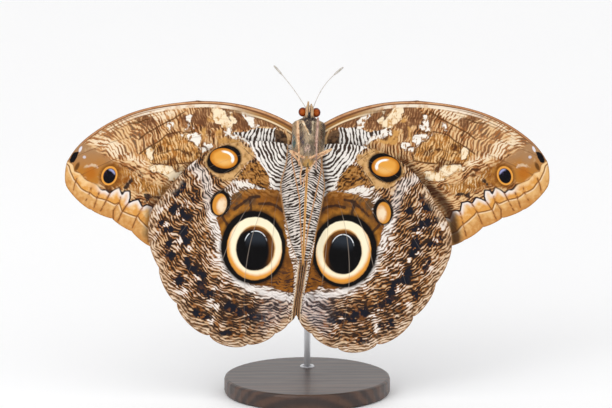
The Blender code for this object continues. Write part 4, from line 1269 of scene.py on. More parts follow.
FORE_OUTLINES: dict[str, tuple[Outline, ...]] = {
    "brown": (
        trace(
            32.3, 12.6, 28.7, 12.9, 28.9, 10.3, 30.2, 9.8, 30.0, 8.6, 27.2, 8.0, 26.3, 7.4, 26.6, 6.4,
            28.9, 6.2, 29.2, 3.4, 27.6, 1.4, 29.4, 3.0, 30.6, 5.6, 31.6, 7.4, 33.4, 7.2, 34.4, 8.6,
            34.6, 10.4, 33.6, 11.8,
        ),
        trace(
            25.9, 12.3, 19.9, 12.0, 19.3, 10.2, 18.0, 9.3, 17.0, 6.7, 18.0, 5.9, 20.6, 6.4, 21.9, 5.2,
            22.6, 5.5, 22.2, 7.4, 23.6, 9.0, 24.9, 11.2,
        ),
        trace(16.2, 10.8, 12.8, 10.0, 9.8, 8.6, 8.6, 7.0, 9.0, 6.4, 11.6, 6.7, 14.4, 6.9, 15.6, 8.6),
        trace(48.2, 9.6, 46.6, 9.8, 45.2, 7.9, 46.6, 6.6, 48.4, 6.2, 48.8, 8.0),
        trace(52.0, 9.4, 49.4, 10.6, 47.6, 10.9, 48.6, 9.4, 50.6, 8.3),
        trace(38.2, 10.6, 37.0, 11.2, 36.2, 9.6, 36.4, 7.2, 37.3, 6.4, 37.6, 8.6),
        trace(42.0, 5.2, 40.6, 5.2, 40.0, 4.4, 41.6, 3.9),
    ),
    "dark": (
        trace(
            46.8, -4.1, 45.6, -3.5, 43.2, -3.3, 41.2, -3.0, 39.8, -2.4, 38.8, -2.8, 38.9, -4.2, 38.0, -5.1,
            38.1, -6.5, 39.4, -6.7, 40.3, -5.3, 41.8, -4.5, 44.0, -4.25,
        ),
        trace(37.4, 0.6, 36.2, -0.2, 34.8, -0.6, 34.0, -1.4, 35.4, -2.2, 36.8, -1.8, 37.6, -0.6),
        trace(39.8, 0.6, 38.6, 0.6, 38.4, -0.1, 39.8, -0.2),
        trace(45.2, 1.2, 43.2, 1.6, 42.8, 0.2, 43.8, -0.8, 45.4, -0.6),
        trace(51.4, -5.0, 50.2, -6.4, 48.7, -7.6, 49.6, -7.8, 51.6, -6.4),
        trace(29.6, 6.2, 28.6, 5.8, 28.9, 4.2, 29.8, 4.6),
        trace(23.9, 4.2, 23.1, 3.6, 23.0, 2.9, 23.8, 3.2),
        trace(53.4, 4.8, 52.5, 4.6, 52.8, 3.6, 53.4, 3.9),
    ),
    "ochre": (
        trace(28.0, 6.0, 25.6, 6.0, 25.4, 4.2, 27.7, 4.2),
        trace(27.3, 3.7, 24.4, 3.9, 22.6, 3.2, 20.0, 2.6, 20.4, 1.9, 23.4, 2.0, 26.6, 1.4),
        trace(29.9, 9.6, 28.5, 9.6, 27.9, 8.6, 29.4, 8.3),
        trace(31.6, 6.4, 30.2, 6.9, 30.5, 4.4, 31.4, 2.6, 31.2, 4.6),
    ),
    "cream": (
        trace(34.8, -6.9, 37.6, -6.2, 41.0, -7.4, 41.4, -9.2, 38.0, -9.6, 35.2, -8.8),
        trace(
            48.1, 0.6, 47.0, 0.9, 46.3, 0.1, 46.2, -0.9, 46.5, -1.6, 46.1, -2.6, 47.0, -2.8, 47.9, -2.2,
            48.3, -0.8,
        ),
        trace(
            47.2, -5.3, 45.8, -4.5, 43.8, -4.4, 41.9, -4.5, 40.5, -5.1, 39.6, -6.0, 39.3, -7.3, 39.9, -8.5,
            41.6, -8.0, 43.6, -7.0, 45.0, -6.2, 45.8, -6.5, 46.9, -5.9,
        ),
        trace(
            28.6, 12.8, 26.2, 12.6, 25.0, 11.4, 23.9, 9.9, 22.8, 8.4, 22.4, 7.2, 23.6, 6.6, 25.6, 6.8,
            26.0, 7.8, 27.2, 8.2, 28.2, 9.4, 28.0, 10.6, 28.9, 11.4,
        ),
        trace(23.6, 11.4, 22.6, 11.6, 22.3, 10.2, 21.0, 8.6, 21.4, 8.0, 22.2, 7.9, 23.0, 9.4),
    ),
    "white": (
        trace(
            19.6, 11.4, 18.0, 11.2, 16.6, 10.6, 15.2, 8.6, 14.4, 7.2, 15.4, 6.7, 17.0, 6.6, 17.8, 9.0,
            19.1, 10.0,
        ),
        trace(
            25.1, 5.9, 24.2, 5.4, 23.8, 6.5, 23.2, 6.5, 22.6, 5.5, 22.3, 4.8, 20.8, 4.3, 19.2, 3.8,
            17.8, 2.5, 16.8, 1.0, 17.6, 0.9, 18.8, 2.0, 20.4, 3.3, 22.4, 3.5, 23.6, 4.3, 25.1, 4.6,
        ),
        trace(41.8, 8.4, 40.4, 8.3, 40.6, 6.4, 40.9, 5.6, 41.8, 5.8),
        trace(36.2, 10.4, 34.9, 10.6, 34.9, 8.8, 35.1, 6.4, 35.0, 5.4, 36.9, 6.0, 36.2, 6.8, 36.3, 8.6),
        trace(34.6, 7.4, 33.6, 7.2, 33.4, 6.2, 34.6, 6.0),
        trace(38.0, 4.9, 37.2, 4.6, 37.6, 3.9),
        trace(
            36.4, 4.3, 34.7, 4.8, 33.4, 5.3, 32.9, 4.3, 32.1, 4.6, 31.7, 2.9, 32.4, 1.8, 32.9, 0.8,
            33.6, 1.2, 34.4, 2.4, 35.6, 2.9,
        ),
        trace(31.4, 2.6, 29.8, 1.9, 28.6, 2.0, 28.3, 1.0, 29.3, 0.0, 29.9, 0.6, 30.8, 1.4),
        trace(32.6, 1.0, 31.4, 0.8, 30.3, 0.5, 30.2, -0.2, 31.2, -0.6, 32.2, 0.2),
    ),
    "pale": (
        trace(
            65.8, 2.4, 63.5, 3.8, 60.0, 3.0, 57.0, 2.6, 55.5, 1.8, 54.6, -0.2, 56.2, -2.0, 58.2, -3.2,
            58.8, -2.0, 60.8, 0.2, 62.4, 1.2, 64.2, 2.0,
        ),
        trace(
            48.4, 10.4, 44.0, 11.8, 40.6, 12.2, 38.0, 12.4, 39.6, 10.6, 42.4, 9.2, 44.4, 7.9, 45.4, 9.0,
            46.6, 10.0,
        ),
        trace(
            55.4, -0.2, 55.6, -1.6, 54.4, -2.8, 52.0, -3.4, 49.6, -4.6, 48.0, -5.3, 47.4, -4.8, 48.8, -2.8,
            50.2, -2.6, 51.8, -2.2, 53.0, -1.2,
        ),
        trace(65.6, 2.6, 63.4, 4.6, 60.6, 6.6, 57.8, 8.0, 53.2, 9.6, 52.4, 8.6, 56.0, 7.2, 59.6, 5.4),
    ),
    "black": (
        trace(49.0, -12.9, 46.5, -13.5, 44.1, -13.8, 44.1, -14.8, 46.9, -14.4, 48.1, -15.4, 48.8, -16.0),
        trace(52.7, -8.3, 52.5, -9.2, 53.9, -10.8, 55.0, -12.2, 54.8, -10.8, 53.9, -9.6),
    ),
    "tip_spot": (
        trace(70.2, -0.6, 68.7, -0.5, 69.4, -2.4, 70.1, -3.7, 71.2, -3.9, 71.5, -3.0, 70.9, -1.6),
    ),
    "warm": (
        trace(
            57.6, -3.1, 53.3, -6.2, 49.6, -8.9, 41.0, -11.1, 43.5, -13.8, 46.5, -14.4, 48.7, -12.9,
            51.1, -12.3, 53.9, -11.1, 57.0, -11.4, 61.0, -11.0, 62.5, -8.6, 61.5, -4.6,
        ),
    ),
    "apex": (
        trace(
            66.8, 2.1, 63.7, -0.1, 61.2, -1.6, 58.2, -3.4, 61.2, -5.3, 62.2, -8.3, 62.8, -10.2,
            64.9, -10.2, 68.0, -7.4, 70.4, -6.2, 72.5, -4.0, 71.0, 0.5, 68.0, 1.9,
        ),
    ),
    "zebra": (
        trace(
            22.2, 5.6, 19.3, 5.3, 17.0, 6.1, 15.0, 6.7, 9.3, 6.7, 9.6, 0.6, 6.1, -0.9, 6.1, -10.5,
            11.3, -10.5, 13.3, -5.9, 15.3, -2.4, 15.8, -0.7, 17.0, 1.3, 18.5, 2.6, 20.2, 4.1, 23.2, 4.1,
        ),
    ),
    "olive": (trace(9.6, 6.1, 7.6, 5.8, 5.8, 4.1, 5.9, 0.1, 7.6, 0.5, 9.6, 1.6),),
    "cell": (
        trace(
            50.1, -0.7, 48.2, 0.5, 46.4, 1.6, 44.2, 2.8, 42.6, 4.2, 40.4, 4.6, 38.4, 4.8, 37.2, 4.0,
            36.4, 3.2, 35.6, 2.7, 34.6, 2.5, 33.4, 1.2, 32.2, -0.8, 31.8, -2.8, 33.4, -3.6, 36.4, -3.9,
            38.8, -4.2, 39.2, -6.2, 41.0, -4.7, 47.0, -3.9, 48.4, -3.1,
        ),
    ),
    "teeth": (
        trace(
            73.0, -2.6, 71.9, -3.5, 70.4, -4.5, 70.1, -6.4, 68.3, -7.0, 66.7, -9.0, 64.3, -10.0,
            63.2, -10.4, 61.8, -12.0, 60.5, -12.0, 59.3, -13.0, 58.1, -12.0, 56.5, -11.3, 55.6, -13.5,
            54.9, -12.4, 53.3, -12.2, 53.2, -14.3, 53.7, -15.9, 52.3, -15.2, 50.7, -14.8, 49.5, -17.1,
            48.2, -16.4, 46.4, -17.0, 45.9, -20.2, 44.9, -19.6, 43.6, -19.9, 42.8, -22.4, 41.5, -22.0,
            38.0, -23.0, 36.0, -40.0, 80.0, -40.0, 80.0, -2.6,
        ),
    ),
    "rim": (
        trace(
            74.0, -3.0, 72.2, -4.2, 71.6, -4.8, 71.2, -6.4, 70.1, -8.7, 69.1, -9.9, 67.9, -11.6,
            66.1, -12.6, 65.3, -12.7, 64.3, -13.7, 63.2, -14.3, 60.3, -15.0, 57.8, -16.3, 56.5, -15.7,
            55.6, -18.3, 53.3, -19.3, 51.5, -19.9, 50.9, -19.7, 50.2, -20.9, 48.2, -22.9, 46.4, -24.4,
            45.0, -26.2, 42.0, -27.5, 38.0, -28.0, 36.0, -40.0, 80.0, -40.0, 80.0, -3.0,
        ),
    ),
}

FORE_LINES: dict[str, tuple[Outline, ...]] = {
    "chevron": (trace(66.0, -4.9, 64.6, -4.5, 63.4, -4.5, 63.1, -5.3),),
    "olive_vein": (trace(6.6, 6.1, 5.6, 3.6, 5.7, 0.6, 6.6, -0.7, 8.6, 0.1, 9.8, 1.1),),
    "cell_lines": (
        trace(54.0, 8.0, 50.5, 8.3, 48.4, 9.2, 47.2, 9.6),
        trace(50.6, 3.2, 48.0, 5.2, 46.2, 6.1, 44.2, 7.3, 42.2, 8.4, 40.2, 9.3, 38.6, 10.4, 36.4, 11.7),
        trace(
            50.4, -1.2, 48.2, 0.5, 46.4, 1.6, 44.2, 2.8, 42.4, 4.5, 40.4, 5.1, 38.0, 5.5, 35.6, 5.2,
            34.0, 5.7,
        ),
        trace(47.4, -3.6, 46.8, -4.1, 44.0, -4.2, 41.9, -4.5),
        trace(
            39.0, -4.1, 36.4, -3.9, 33.4, -3.5, 31.8, -3.2, 31.9, -1.6, 32.6, -0.2, 33.6, 1.4, 34.6, 2.5,
            35.8, 2.7, 36.6, 3.6, 37.2, 5.2,
        ),
        trace(
            45.8, 1.4, 46.1, 0.2, 45.7, -0.9, 44.6, -1.3, 43.0, -0.9, 41.4, -0.3, 40.0, 0.1, 38.2, 0.1,
            36.8, -0.8,
        ),
        trace(31.9, 0.9, 30.6, 1.0, 29.8, 0.0, 29.9, -1.0),
    ),
    "ticks": (
        trace(69.3, -8.5, 69.8, -10.1, 70.7, -13.1),
        trace(64.8, -10.9, 65.3, -12.7, 66.8, -15.7),
        trace(62.5, -12.7, 63.2, -14.3, 64.1, -17.3),
        trace(59.3, -13.1, 60.3, -15.0, 62.1, -18.3),
        trace(56.0, -14.1, 56.5, -15.7, 58.3, -18.1, 58.3, -20.9),
        trace(53.9, -16.1, 55.7, -18.7, 57.1, -21.9),
        trace(49.5, -17.3, 51.1, -19.9, 52.6, -23.5),
        trace(45.9, -20.2, 46.8, -23.9, 47.8, -27.6),
    ),
    # Where each hindwing's edge lies on the forewing's plan; the forewing's painted shadow of the hindwing
    # follows these lines.
    "hind_edge_right": (trace(28.6, -2.3, 35.2, -5.5, 40.4, -9.5, 46.3, -16.6, 47.5, -25.1),),
    "hind_edge_left": (trace(28.0, -3.0, 33.8, -8.1, 39.7, -14.7, 43.5, -21.9, 44.8, -29.0),),
}

HIND_BLOTS = (
    (39.4, -17.6, 1.3, 1.1), (37.2, -18.9, 1.0, 1.3), (35.9, -20.2, 1.0, 0.6), (42.8, -16.4, 1.1, 0.7),
    (43.7, -21.8, 1.3, 0.6), (36.7, -24.6, 1.2, 1.9), (35.9, -27.2, 0.9, 1.2), (39.2, -13.0, 1.4, 1.0),
    (37.2, -10.6, 0.7, 1.2), (33.5, -15.0, 1.1, 0.7), (40.4, -31.4, 1.2, 1.1), (41.2, -28.6, 0.6, 1.2),
    (35.6, -33.0, 0.8, 1.3), (34.4, -35.6, 1.6, 0.8), (31.6, -37.3, 1.2, 1.0), (31.2, -39.8, 1.7, 0.7),
    (38.4, -39.2, 1.2, 1.4), (30.2, -42.4, 1.5, 0.8), (28.4, -43.8, 1.7, 0.6), (22.9, -46.9, 2.6, 1.1),
    (18.4, -48.1, 2.4, 0.5), (20.2, -49.0, 1.3, 0.6), (15.2, -50.2, 2.2, 0.6), (32.4, -48.4, 1.2, 0.7),
    (30.4, -50.2, 1.8, 0.4), (24.6, -55.2, 1.6, 0.5), (41.2, -23.8, 1.3, 0.5),
)
HIND_FLECKS = (
    (44.1, -17.6, 1.1, 1.4), (38.3, -19.0, 0.7, 0.9), (37.1, -20.9, 0.9, 0.7), (32.6, -38.4, 1.0, 0.8),
    (28.2, -51.0, 0.9, 1.1), (17.4, -49.2, 1.0, 0.5), (26.8, -47.3, 0.9, 0.9), (28.6, -45.3, 1.6, 0.5),
    (37.5, -27.2, 0.7, 0.8), (35.3, -29.5, 0.6, 0.6), (42.3, -22.3, 1.0, 0.4), (36.8, -42.4, 0.9, 0.8),
)
HIND_OUTLINES: dict[str, tuple[Outline, ...]] = {
    "blots": tuple(diamond(*row) for row in HIND_BLOTS),
    "flecks": tuple(diamond(*row) for row in HIND_FLECKS),
    "ground": (
        trace(
            22.3, -13.4, 19.7, -12.3, 15.7, -11.8, 10.9, -11.6, 8.7, -12.0, 6.5, -14.7, 6.3, -18.6,
            6.1, -22.2, 5.4, -26.6, 4.7, -30.5, 3.4, -33.6, 2.8, -36.2, 2.1, -38.9, 1.9, -42.6, 4.3, -43.1,
            7.4, -42.4, 9.6, -41.3, 14.9, -40.6, 20.1, -38.0, 23.7, -32.7, 24.8, -28.3, 26.3, -22.6,
            26.7, -20.0, 23.7, -18.6, 22.3, -16.0,
        ),
    ),
    "upper_brown": (
        trace(
            17.5, -3.9, 13.5, -3.5, 11.8, -6.8, 10.9, -9.0, 10.9, -11.6, 13.5, -11.4, 15.7, -10.3,
            17.9, -9.2, 20.6, -8.7, 19.7, -6.8, 18.4, -5.0,
        ),
    ),
    "tan": (
        trace(
            29.8, -1.9, 27.2, 1.6, 23.7, 2.9, 20.1, 2.7, 15.7, -0.6, 15.5, -2.4, 17.5, -3.5, 19.0, -5.4,
            20.8, -8.5, 23.2, -9.4, 26.3, -8.5, 29.4, -5.9, 30.7, -3.2,
        ),
    ),
    "white_streak": (
        trace(21.9, -9.2, 18.4, -9.6, 14.9, -10.6, 13.1, -11.6, 15.7, -11.7, 17.9, -11.1, 20.1, -10.8),
    ),
    "zebra": (
        trace(
            24.5, 5.3, 21.9, 4.5, 18.4, 3.1, 15.7, 0.5, 14.9, -1.9, 13.1, -4.1, 10.9, -7.2, 10.0, -10.7,
            8.7, -12.5, 6.3, -13.8, 5.0, -13.0, 2.0, -3.0, 2.0, 6.0, 20.0, 7.0,
        ),
    ),
}

HIND_LINES: dict[str, tuple[Outline, ...]] = {
    "white_line": (
        trace(
            24.5, 5.3, 21.9, 4.5, 18.4, 3.1, 15.7, 0.5, 14.9, -1.9, 13.1, -4.1, 10.9, -7.2, 10.0, -10.7,
            8.7, -12.5, 6.3, -13.8,
        ),
    ),
    "navy": (
        trace(
            41.7, -12.9, 38.2, -17.8, 36.4, -24.4, 34.2, -33.6, 30.7, -41.5, 24.5, -46.4, 17.5, -48.1,
            12.2, -48.6,
        ),
    ),
    "bright": (
        trace(
            35.1, -4.1, 30.7, -7.2, 29.2, -11.6, 28.6, -18.0, 26.8, -22.0, 25.6, -28.0, 24.2, -33.5,
            21.3, -38.2, 17.5, -41.1, 13.0, -42.6, 8.0, -43.7, 3.4, -44.4,
        ),
    ),
    "dark_arc": (
        trace(14.0, -16.2, 11.3, -16.0, 8.7, -16.7, 6.9, -18.2),
        trace(25.2, -19.8, 24.0, -21.6, 22.9, -23.2),
        trace(21.5, -17.8, 19.0, -16.0, 16.6, -14.2, 13.8, -14.0),
        trace(16.9, -14.2, 16.4, -17.5, 17.2, -19.6),
    ),
    "brown_vein": (
        trace(20.6, 1.6, 18.4, 0.3, 16.0, -2.1),
        trace(19.3, -5.7, 21.5, -8.1),
    ),
}


# Body


EYE_PLACE = (1.98, 11.25, 0.3)
EYE_RADII = (1.32, 1.40, 1.42)
BODY_LINES: dict[str, Outline] = {
    "vee": trace(-2.28, 8.67, 0.78, 4.0, 1.93, 8.64),
    # The next line marks painted shade along the thorax's edge on the viewer's right, beside the wing root.
    "shaded_side": trace(3.56, 8.8, 2.95, 4.5, 2.95, 0.0),
    "warm_side": trace(-3.79, 7.8, -3.33, 4.2, -2.32, 1.5),
}
BODY_TINTS: tuple[tuple[float, float, float, float, str], ...] = (
    (1.6, 6.0, 0.35, 0.9, "3E5A5C"), (-1.4, 4.0, 0.5, 0.5, "3A3A66"), (-0.8, 2.8, 0.4, 0.8, "5A4A5A"),
    (-3.3, 4.5, 0.5, 0.7, "3A6478"), (-3.1, 2.4, 0.7, 1.0, "5A8080"), (-4.3, 3.2, 0.6, 0.9, "8090A0"),
    (1.4, 3.3, 0.5, 0.8, "6E6238"), (0.0, 7.2, 0.7, 0.7, "8A7A50"), (-1.0, 5.3, 1.0, 0.6, "8A7468"),
    (1.0, 7.8, 0.6, 0.7, "8A6A60"), (-4.2, 6.8, 0.9, 0.8, "8A6448"), (4.4, 5.4, 0.25, 1.4, "B06A20"),
    # Painted shadow in the gap between the thorax and the wing root on the viewer's right.
    (5.4, 5.5, 0.8, 2.5, "3A2C14"),
)


@dataclass(frozen=True)
class Fur:
    """Short soft hair, coloured by its root's place on the body and paler at its tips."""

    name: str = "short fur"
    knob: Oval = Oval((-0.14, 1.0), (0.85, 0.85))
    knob_middle: Oval = Oval((0.0, 1.15), (0.4, 0.4))
    pad: Oval = Oval((0.2, -3.5), (1.9, 1.9))

    def make(self) -> bpy.types.Material:
        """Makes the material."""
        net = Net(self.name, Specular_IOR_Level=0.25, Sheen_Weight=0.35, Sheen_Roughness=0.4)
        place = net.vector("place")
        u, v, w = net.parts(place)
        streak = net.join(u, v * 0.28, w)
        lock = net.noise(streak, 0.55, 61.0, 3.0)
        haze = net.noise(place, 2.2, 62.0, 2.0)
        net.colour = net.blend("715E4B", "D8BF9C", lock.rise(0.38, 0.62))
        net.lay("55493F", (haze + lock * 0.5).rise(0.98, 1.18) * 0.8)
        cool = net.noise(place, 1.5, 63.0).rise(0.50, 0.66) * v.rise(-5.0, -1.0) * v.rise(10.0, 6.0)
        net.lay("5D7C85", cool * (0.15 + 0.35 * u.rise(-4.5, -1.5) * u.rise(4.5, 2.0)))
        clumps = net.noise(net.join(u, v * 0.6, w), 1.4, 67.0, 2.0)
        chest = v.rise(-3.5, -2.0) * v.rise(9.6, 8.8)
        net.lay("F0D9B4", clumps.rise(0.54, 0.66) * chest * 0.7)
        net.lay("41322A", clumps.rise(0.46, 0.34) * chest * 0.65)
        tilt = math.sin(math.radians(POSE.body_tilt))
        # Each tint is a colour of the thorax's hair, save the last one in BODY_TINTS, which is painted
        # shadow.
        for u_mid, v_mid, wide, tall, tint in BODY_TINTS:
            middle = (u_mid - POSE.body_centre - tilt * v_mid, v_mid)
            spread = net.oval(u, v, Oval(middle, (wide, tall))) + (haze - 0.5) * 0.8
            net.lay(tint, spread.rise(1.45, 0.75) * 0.85)
        left_arm, right_arm = u - 0.78 + (v - 4.0) * 0.655, 0.78 + (v - 4.0) * 0.248 - u
        within = left_arm.rise(0.1, 0.5) * right_arm.rise(0.1, 0.5) * v.rise(4.2, 5.2)
        net.lay("4A3A38", within * lock.rise(0.75, 0.4))
        # Painted shade along the thorax's edge on the viewer's right, beside the wing root.
        shaded_side = net.field("shaded_side") + (haze - 0.5) * 0.8
        net.lay("4A3028", shaded_side.rise(0.9, 0.35) * 0.85)
        warm_side = net.field("warm_side") + (haze - 0.5) * 0.8
        net.lay("D8B48A", warm_side.rise(0.75, 0.25) * 0.8)
        line = net.field("vee").rise(0.42, 0.18)
        net.lay("F0DAB8", line * 0.95)
        flank = abs(abs(u) - 3.1 + net.wander(place, 2.0, 0.3, 64.0)).rise(0.42, 0.15) * v.rise(-2.0, 1.0)
        net.lay("E4C294", flank * 0.7)
        knob = net.oval(u, v, self.knob)
        net.lay("6A4C3E", knob.rise(1.6, 1.1) * 0.6)
        net.lay("FCE0CC", knob.rise(1.1, 0.85))
        net.lay("84523E", net.oval(u, v, self.knob_middle).rise(1.2, 0.6) * 0.9)
        pad = net.oval(u, v, self.pad)
        net.lay("DCBE98", pad.rise(1.5, 1.1) * v.rise(-4.5, -2.5) * 0.7)
        golden = net.blend("F0C46C", "B8823C", pad.rise(0.3, 1.0))
        net.lay(golden, pad.rise(1.05, 0.8))
        slit = abs(u - 0.25 + net.wander(place, 1.0, 0.08, 65.0)).rise(0.22, 0.08) * v.rise(-2.9, -3.5)
        net.lay("3A2C20", slit * pad.rise(1.1, 0.9) * 0.85)
        face = v.rise(9.6, 10.2)
        net.lay(net.blend("59626C", "E2BC8E", abs(u).rise(0.25, 0.8)), face * 0.9)
        belly = v.rise(-5.6, -6.6)
        rings = net.lines((ABDOMEN.front - v) * (ABDOMEN.rings / ABDOMEN.length))
        net.lay(net.blend("C2A27A", "9B7C58", rings.rise(0.75, 0.95)), belly)
        upper = net.blend("4E4136", "7C6850", lock.rise(0.35, 0.65))
        upper = net.blend(upper, net.blend("544638", "8A7256", rings.rise(0.75, 0.95)), belly)
        net.colour = net.blend(upper, net.colour, (w + haze * 0.8).rise(-0.4, 1.0))
        tip, tone = net.field("tip"), net.field("tone")
        net.lay("2E241C", tip.rise(0.30, 0.0) * 0.4)
        net.lay("F6E4C8", tip.rise(0.5, 1.0) * (0.04 + 0.3 * tone))
        net.feed("Base Color", net.colour)
        net.feed("Roughness", 0.62 + 0.2 * haze)
        fine = net.node("ShaderNodeVectorMath", {"operation": "MULTIPLY"}, {0: place, 1: (1.0, 0.15, 1.0)})
        net.bump(net.noise(fine.outputs[0], 0.10, 66.0, 3.0), 0.10, 0.8)
        return net.material


@dataclass
class BodySkin:
    """One skin from the head over the thorax to the abdomen's tip, below the coat."""

    coat_depth: float = 0.30
    boxiness: float = 0.86
    segments: int = 64
    groove: float = 0.14
    stations: tuple[Knot, ...] = (
        (13.15, 0.75, 0.80, 0.80), (12.8, 1.30, 1.45, 1.45), (12.1, 1.72, 2.05, 2.05),
        (11.25, 1.86, 2.28, 2.28), (10.4, 1.80, 2.12, 2.15), (9.8, 2.05, 2.0, 2.2), (9.4, 2.4, 2.5, 2.7),
        (8.9, 3.2, 3.1, 3.6), (8.0, 4.5, 3.6, 4.4), (6.0, 5.0, 3.9, 4.9), (3.4, 5.0, 4.1, 5.2),
        (0.4, 4.9, 4.1, 5.2), (-2.0, 4.4, 4.1, 4.8), (-4.0, 3.5, 3.8, 4.1), (-5.2, 2.75, 3.05, 3.35),
        (-5.9, 2.35, 2.45, 2.55),
    )

    def rows(self) -> np.ndarray:
        """Rows of place, half width, depth below and depth above, from the head's pole to the tail's."""
        front = smooth_run(np.array(self.stations), 5)
        v = np.linspace(-6.4, -34.9, 84)
        share = (ABDOMEN.front - v) / ABDOMEN.length
        radius = ABDOMEN.radius(share)
        step = share * ABDOMEN.rings
        radius = radius - self.groove * np.exp(-(((step - np.rint(step)) / 0.10) ** 2))
        radius = radius * np.sqrt(np.clip(1.0 - smoothstep(-33.9, -35.6, v) * 0.55, 0.0, 1.0))
        tail = np.stack([v, radius, radius, radius], axis=1)
        table = np.vstack([[[13.4, 0.0, 0.0, 0.0]], front, tail, [[-35.1, 0.0, 0.0, 0.0]]])
        table[1:-1, 1:] = np.maximum(table[1:-1, 1:] - self.coat_depth, 0.25)
        table[0, 0] -= self.coat_depth
        return table

    def at(self, row: np.ndarray, angle: np.ndarray) -> np.ndarray:
        """Points of the skin.

        Args:
            row: Places along the table of rows.
            angle: Angles round the body, from the side that faces the viewer.

        Returns:
            Body points in mm.
        """
        table = self.rows()
        v, half, below, above = (np.interp(row, np.arange(len(table)), table[:, k]) for k in range(4))
        sine, cosine = np.sin(angle), np.cos(angle)
        across = np.sign(sine) * np.abs(sine) ** self.boxiness
        out = np.sign(cosine) * np.abs(cosine) ** self.boxiness
        return np.stack([half * across, v, np.where(cosine > 0, below, above) * out], axis=-1)

    def build(self, finish: bpy.types.Material) -> bpy.types.Object:
        """Models the skin from a sphere whose rings are set to the rows.

        Args:
            finish: Its material.

        Returns:
            The finished skin.
        """
        last = len(self.rows()) - 1
        sizes = {"segments": self.segments, "ring_count": last, "radius": 1.0}
        obj = added(bpy.ops.mesh.primitive_uv_sphere_add, "body_skin", **sizes)
        flat = points_of(obj)
        row = np.arccos(np.clip(flat[:, 2], -1, 1)) / math.pi * last
        angle = np.arctan2(flat[:, 0], -flat[:, 1])
        points = self.at(row, angle)
        obj.data.vertices.foreach_set("co", POSE.body_world(points).ravel())
        obj.data.update()
        dress_fur(obj, points, np.full(len(points), 0.30), np.full(len(points), 0.4))
        obj.data.uv_layers[0].name = "OFBake"
        obj.data.materials.append(finish)
        obj.data.shade_smooth()
        turn_outwards(obj)
        return obj


def dress_fur(obj: bpy.types.Object, places: np.ndarray, tips: np.ndarray, tones: np.ndarray) -> None:
    """Gives a mesh the fields that the fur finish reads.

    Args:
        obj: The mesh object.
        places: The body point that colours each mesh point.
        tips: 0 at a hair's root and 1 at its tip.
        tones: A number from 0 to 1 that sets a lock apart from its neighbours.
    """
    fields = {name: distance_to_line(places[:, :2], line) for name, line in BODY_LINES.items()}
    for name, values in {"place": places, "tip": tips, "tone": tones, **fields}.items():
        add_field(obj, name, values)


@dataclass
class Coat:
    """Tufts of hair that lie along the body, as one joined mesh."""

    name: str
    finish: bpy.types.Material
    seed: int = 7
    sunk: float = 0.12
    patch: float = 0.003
    levels: tuple[Point, ...] = ((0.0, 0.75), (0.42, 1.0), (0.78, 0.62))
    flatness: float = 0.26

    def tuft_faces(self) -> list[tuple[int, ...]]:
        """The faces of one tuft: three sides between its levels, a floor, and three that meet at its tip."""
        edges = ((0, 1), (1, 2), (2, 0))
        top = 3 * (len(self.levels) - 1)
        quads = [(low + a, low + b, low + 3 + b, low + 3 + a) for low in range(0, top, 3) for a, b in edges]
        return [*quads, (2, 1, 0), *((top + a, top + b, top + 3) for a, b in edges)]

    def build(
        self, points: np.ndarray, normals: np.ndarray, lie: np.ndarray, length: np.ndarray,
        width: np.ndarray, lift: np.ndarray, unwrap: np.ndarray,
    ) -> bpy.types.Object:
        """Sets one tuft at each root.

        Args:
            points: Roots in body mm.
            normals: The skin's outward direction there.
            lie: The way that the hair runs.
            length: Length of each tuft in mm.
            width: Width of each tuft in mm.
            lift: How far each stands off the skin, in degrees.
            unwrap: Each root's place on an unwrap of the skin.

        Returns:
            The coat.
        """
        rng = np.random.default_rng(self.seed)
        count = len(points)
        lie = unit(lie - normals * np.sum(lie * normals, axis=1)[:, None])
        side = np.cross(normals, lie)
        rise = np.tan(np.radians(lift))[:, None]
        rings, tips = [], []
        for share, girth in self.levels:
            curl = rise * share * (1.0 - 0.55 * share)
            middle = points + length[:, None] * (lie * share + normals * curl)
            middle = middle - normals * self.sunk * (share == 0)
            for corner in range(3):
                turn = 2 * math.pi * corner / 3 + math.pi / 2
                offset = side * math.cos(turn) * 0.5 + normals * math.sin(turn) * self.flatness
                rings.append(middle + offset * (width * girth)[:, None])
                tips.append(share)
        end = points + length[:, None] * (lie + normals * rise * 0.45)
        end += side * (width * rng.normal(0.0, 0.5, count))[:, None]
        rings.append(end)
        tips.append(1.0)
        each = len(rings)
        verts = np.stack(rings, axis=1).reshape(-1, 3)
        base = (np.arange(count) * each).tolist()
        tuft = self.tuft_faces()
        faces = [tuple(start + index for index in face) for start in base for face in tuft]
        mesh = bpy.data.meshes.new(self.name)
        mesh.from_pydata(POSE.body_world(verts).tolist(), [], faces)
        obj = bpy.data.objects.new(self.name, mesh)
        bpy.context.scene.collection.objects.link(obj)
        tones = np.repeat(rng.uniform(0.0, 1.0, count), each)
        places = np.repeat(points + rng.normal(0.0, 0.12, points.shape), each, axis=0)
        dress_fur(obj, places, np.tile(tips, count), tones)
        layer = mesh.uv_layers.new(name="OFBake")
        corners = np.empty(len(mesh.loops), np.int32)
        mesh.loops.foreach_get("vertex_index", corners)
        local = np.stack([np.tile([0.0, 1.0, 0.5], each)[:each], np.array(tips)], axis=1) * self.patch
        roots = np.clip(unwrap, 0.004, 0.996) - self.patch / 2
        spread = roots[corners // each] + local[corners % each]
        layer.data.foreach_set("uv", spread.astype(np.float32).ravel())
        mesh.materials.append(self.finish)
        mesh.shade_smooth()
        turn_outwards(obj)
        return obj


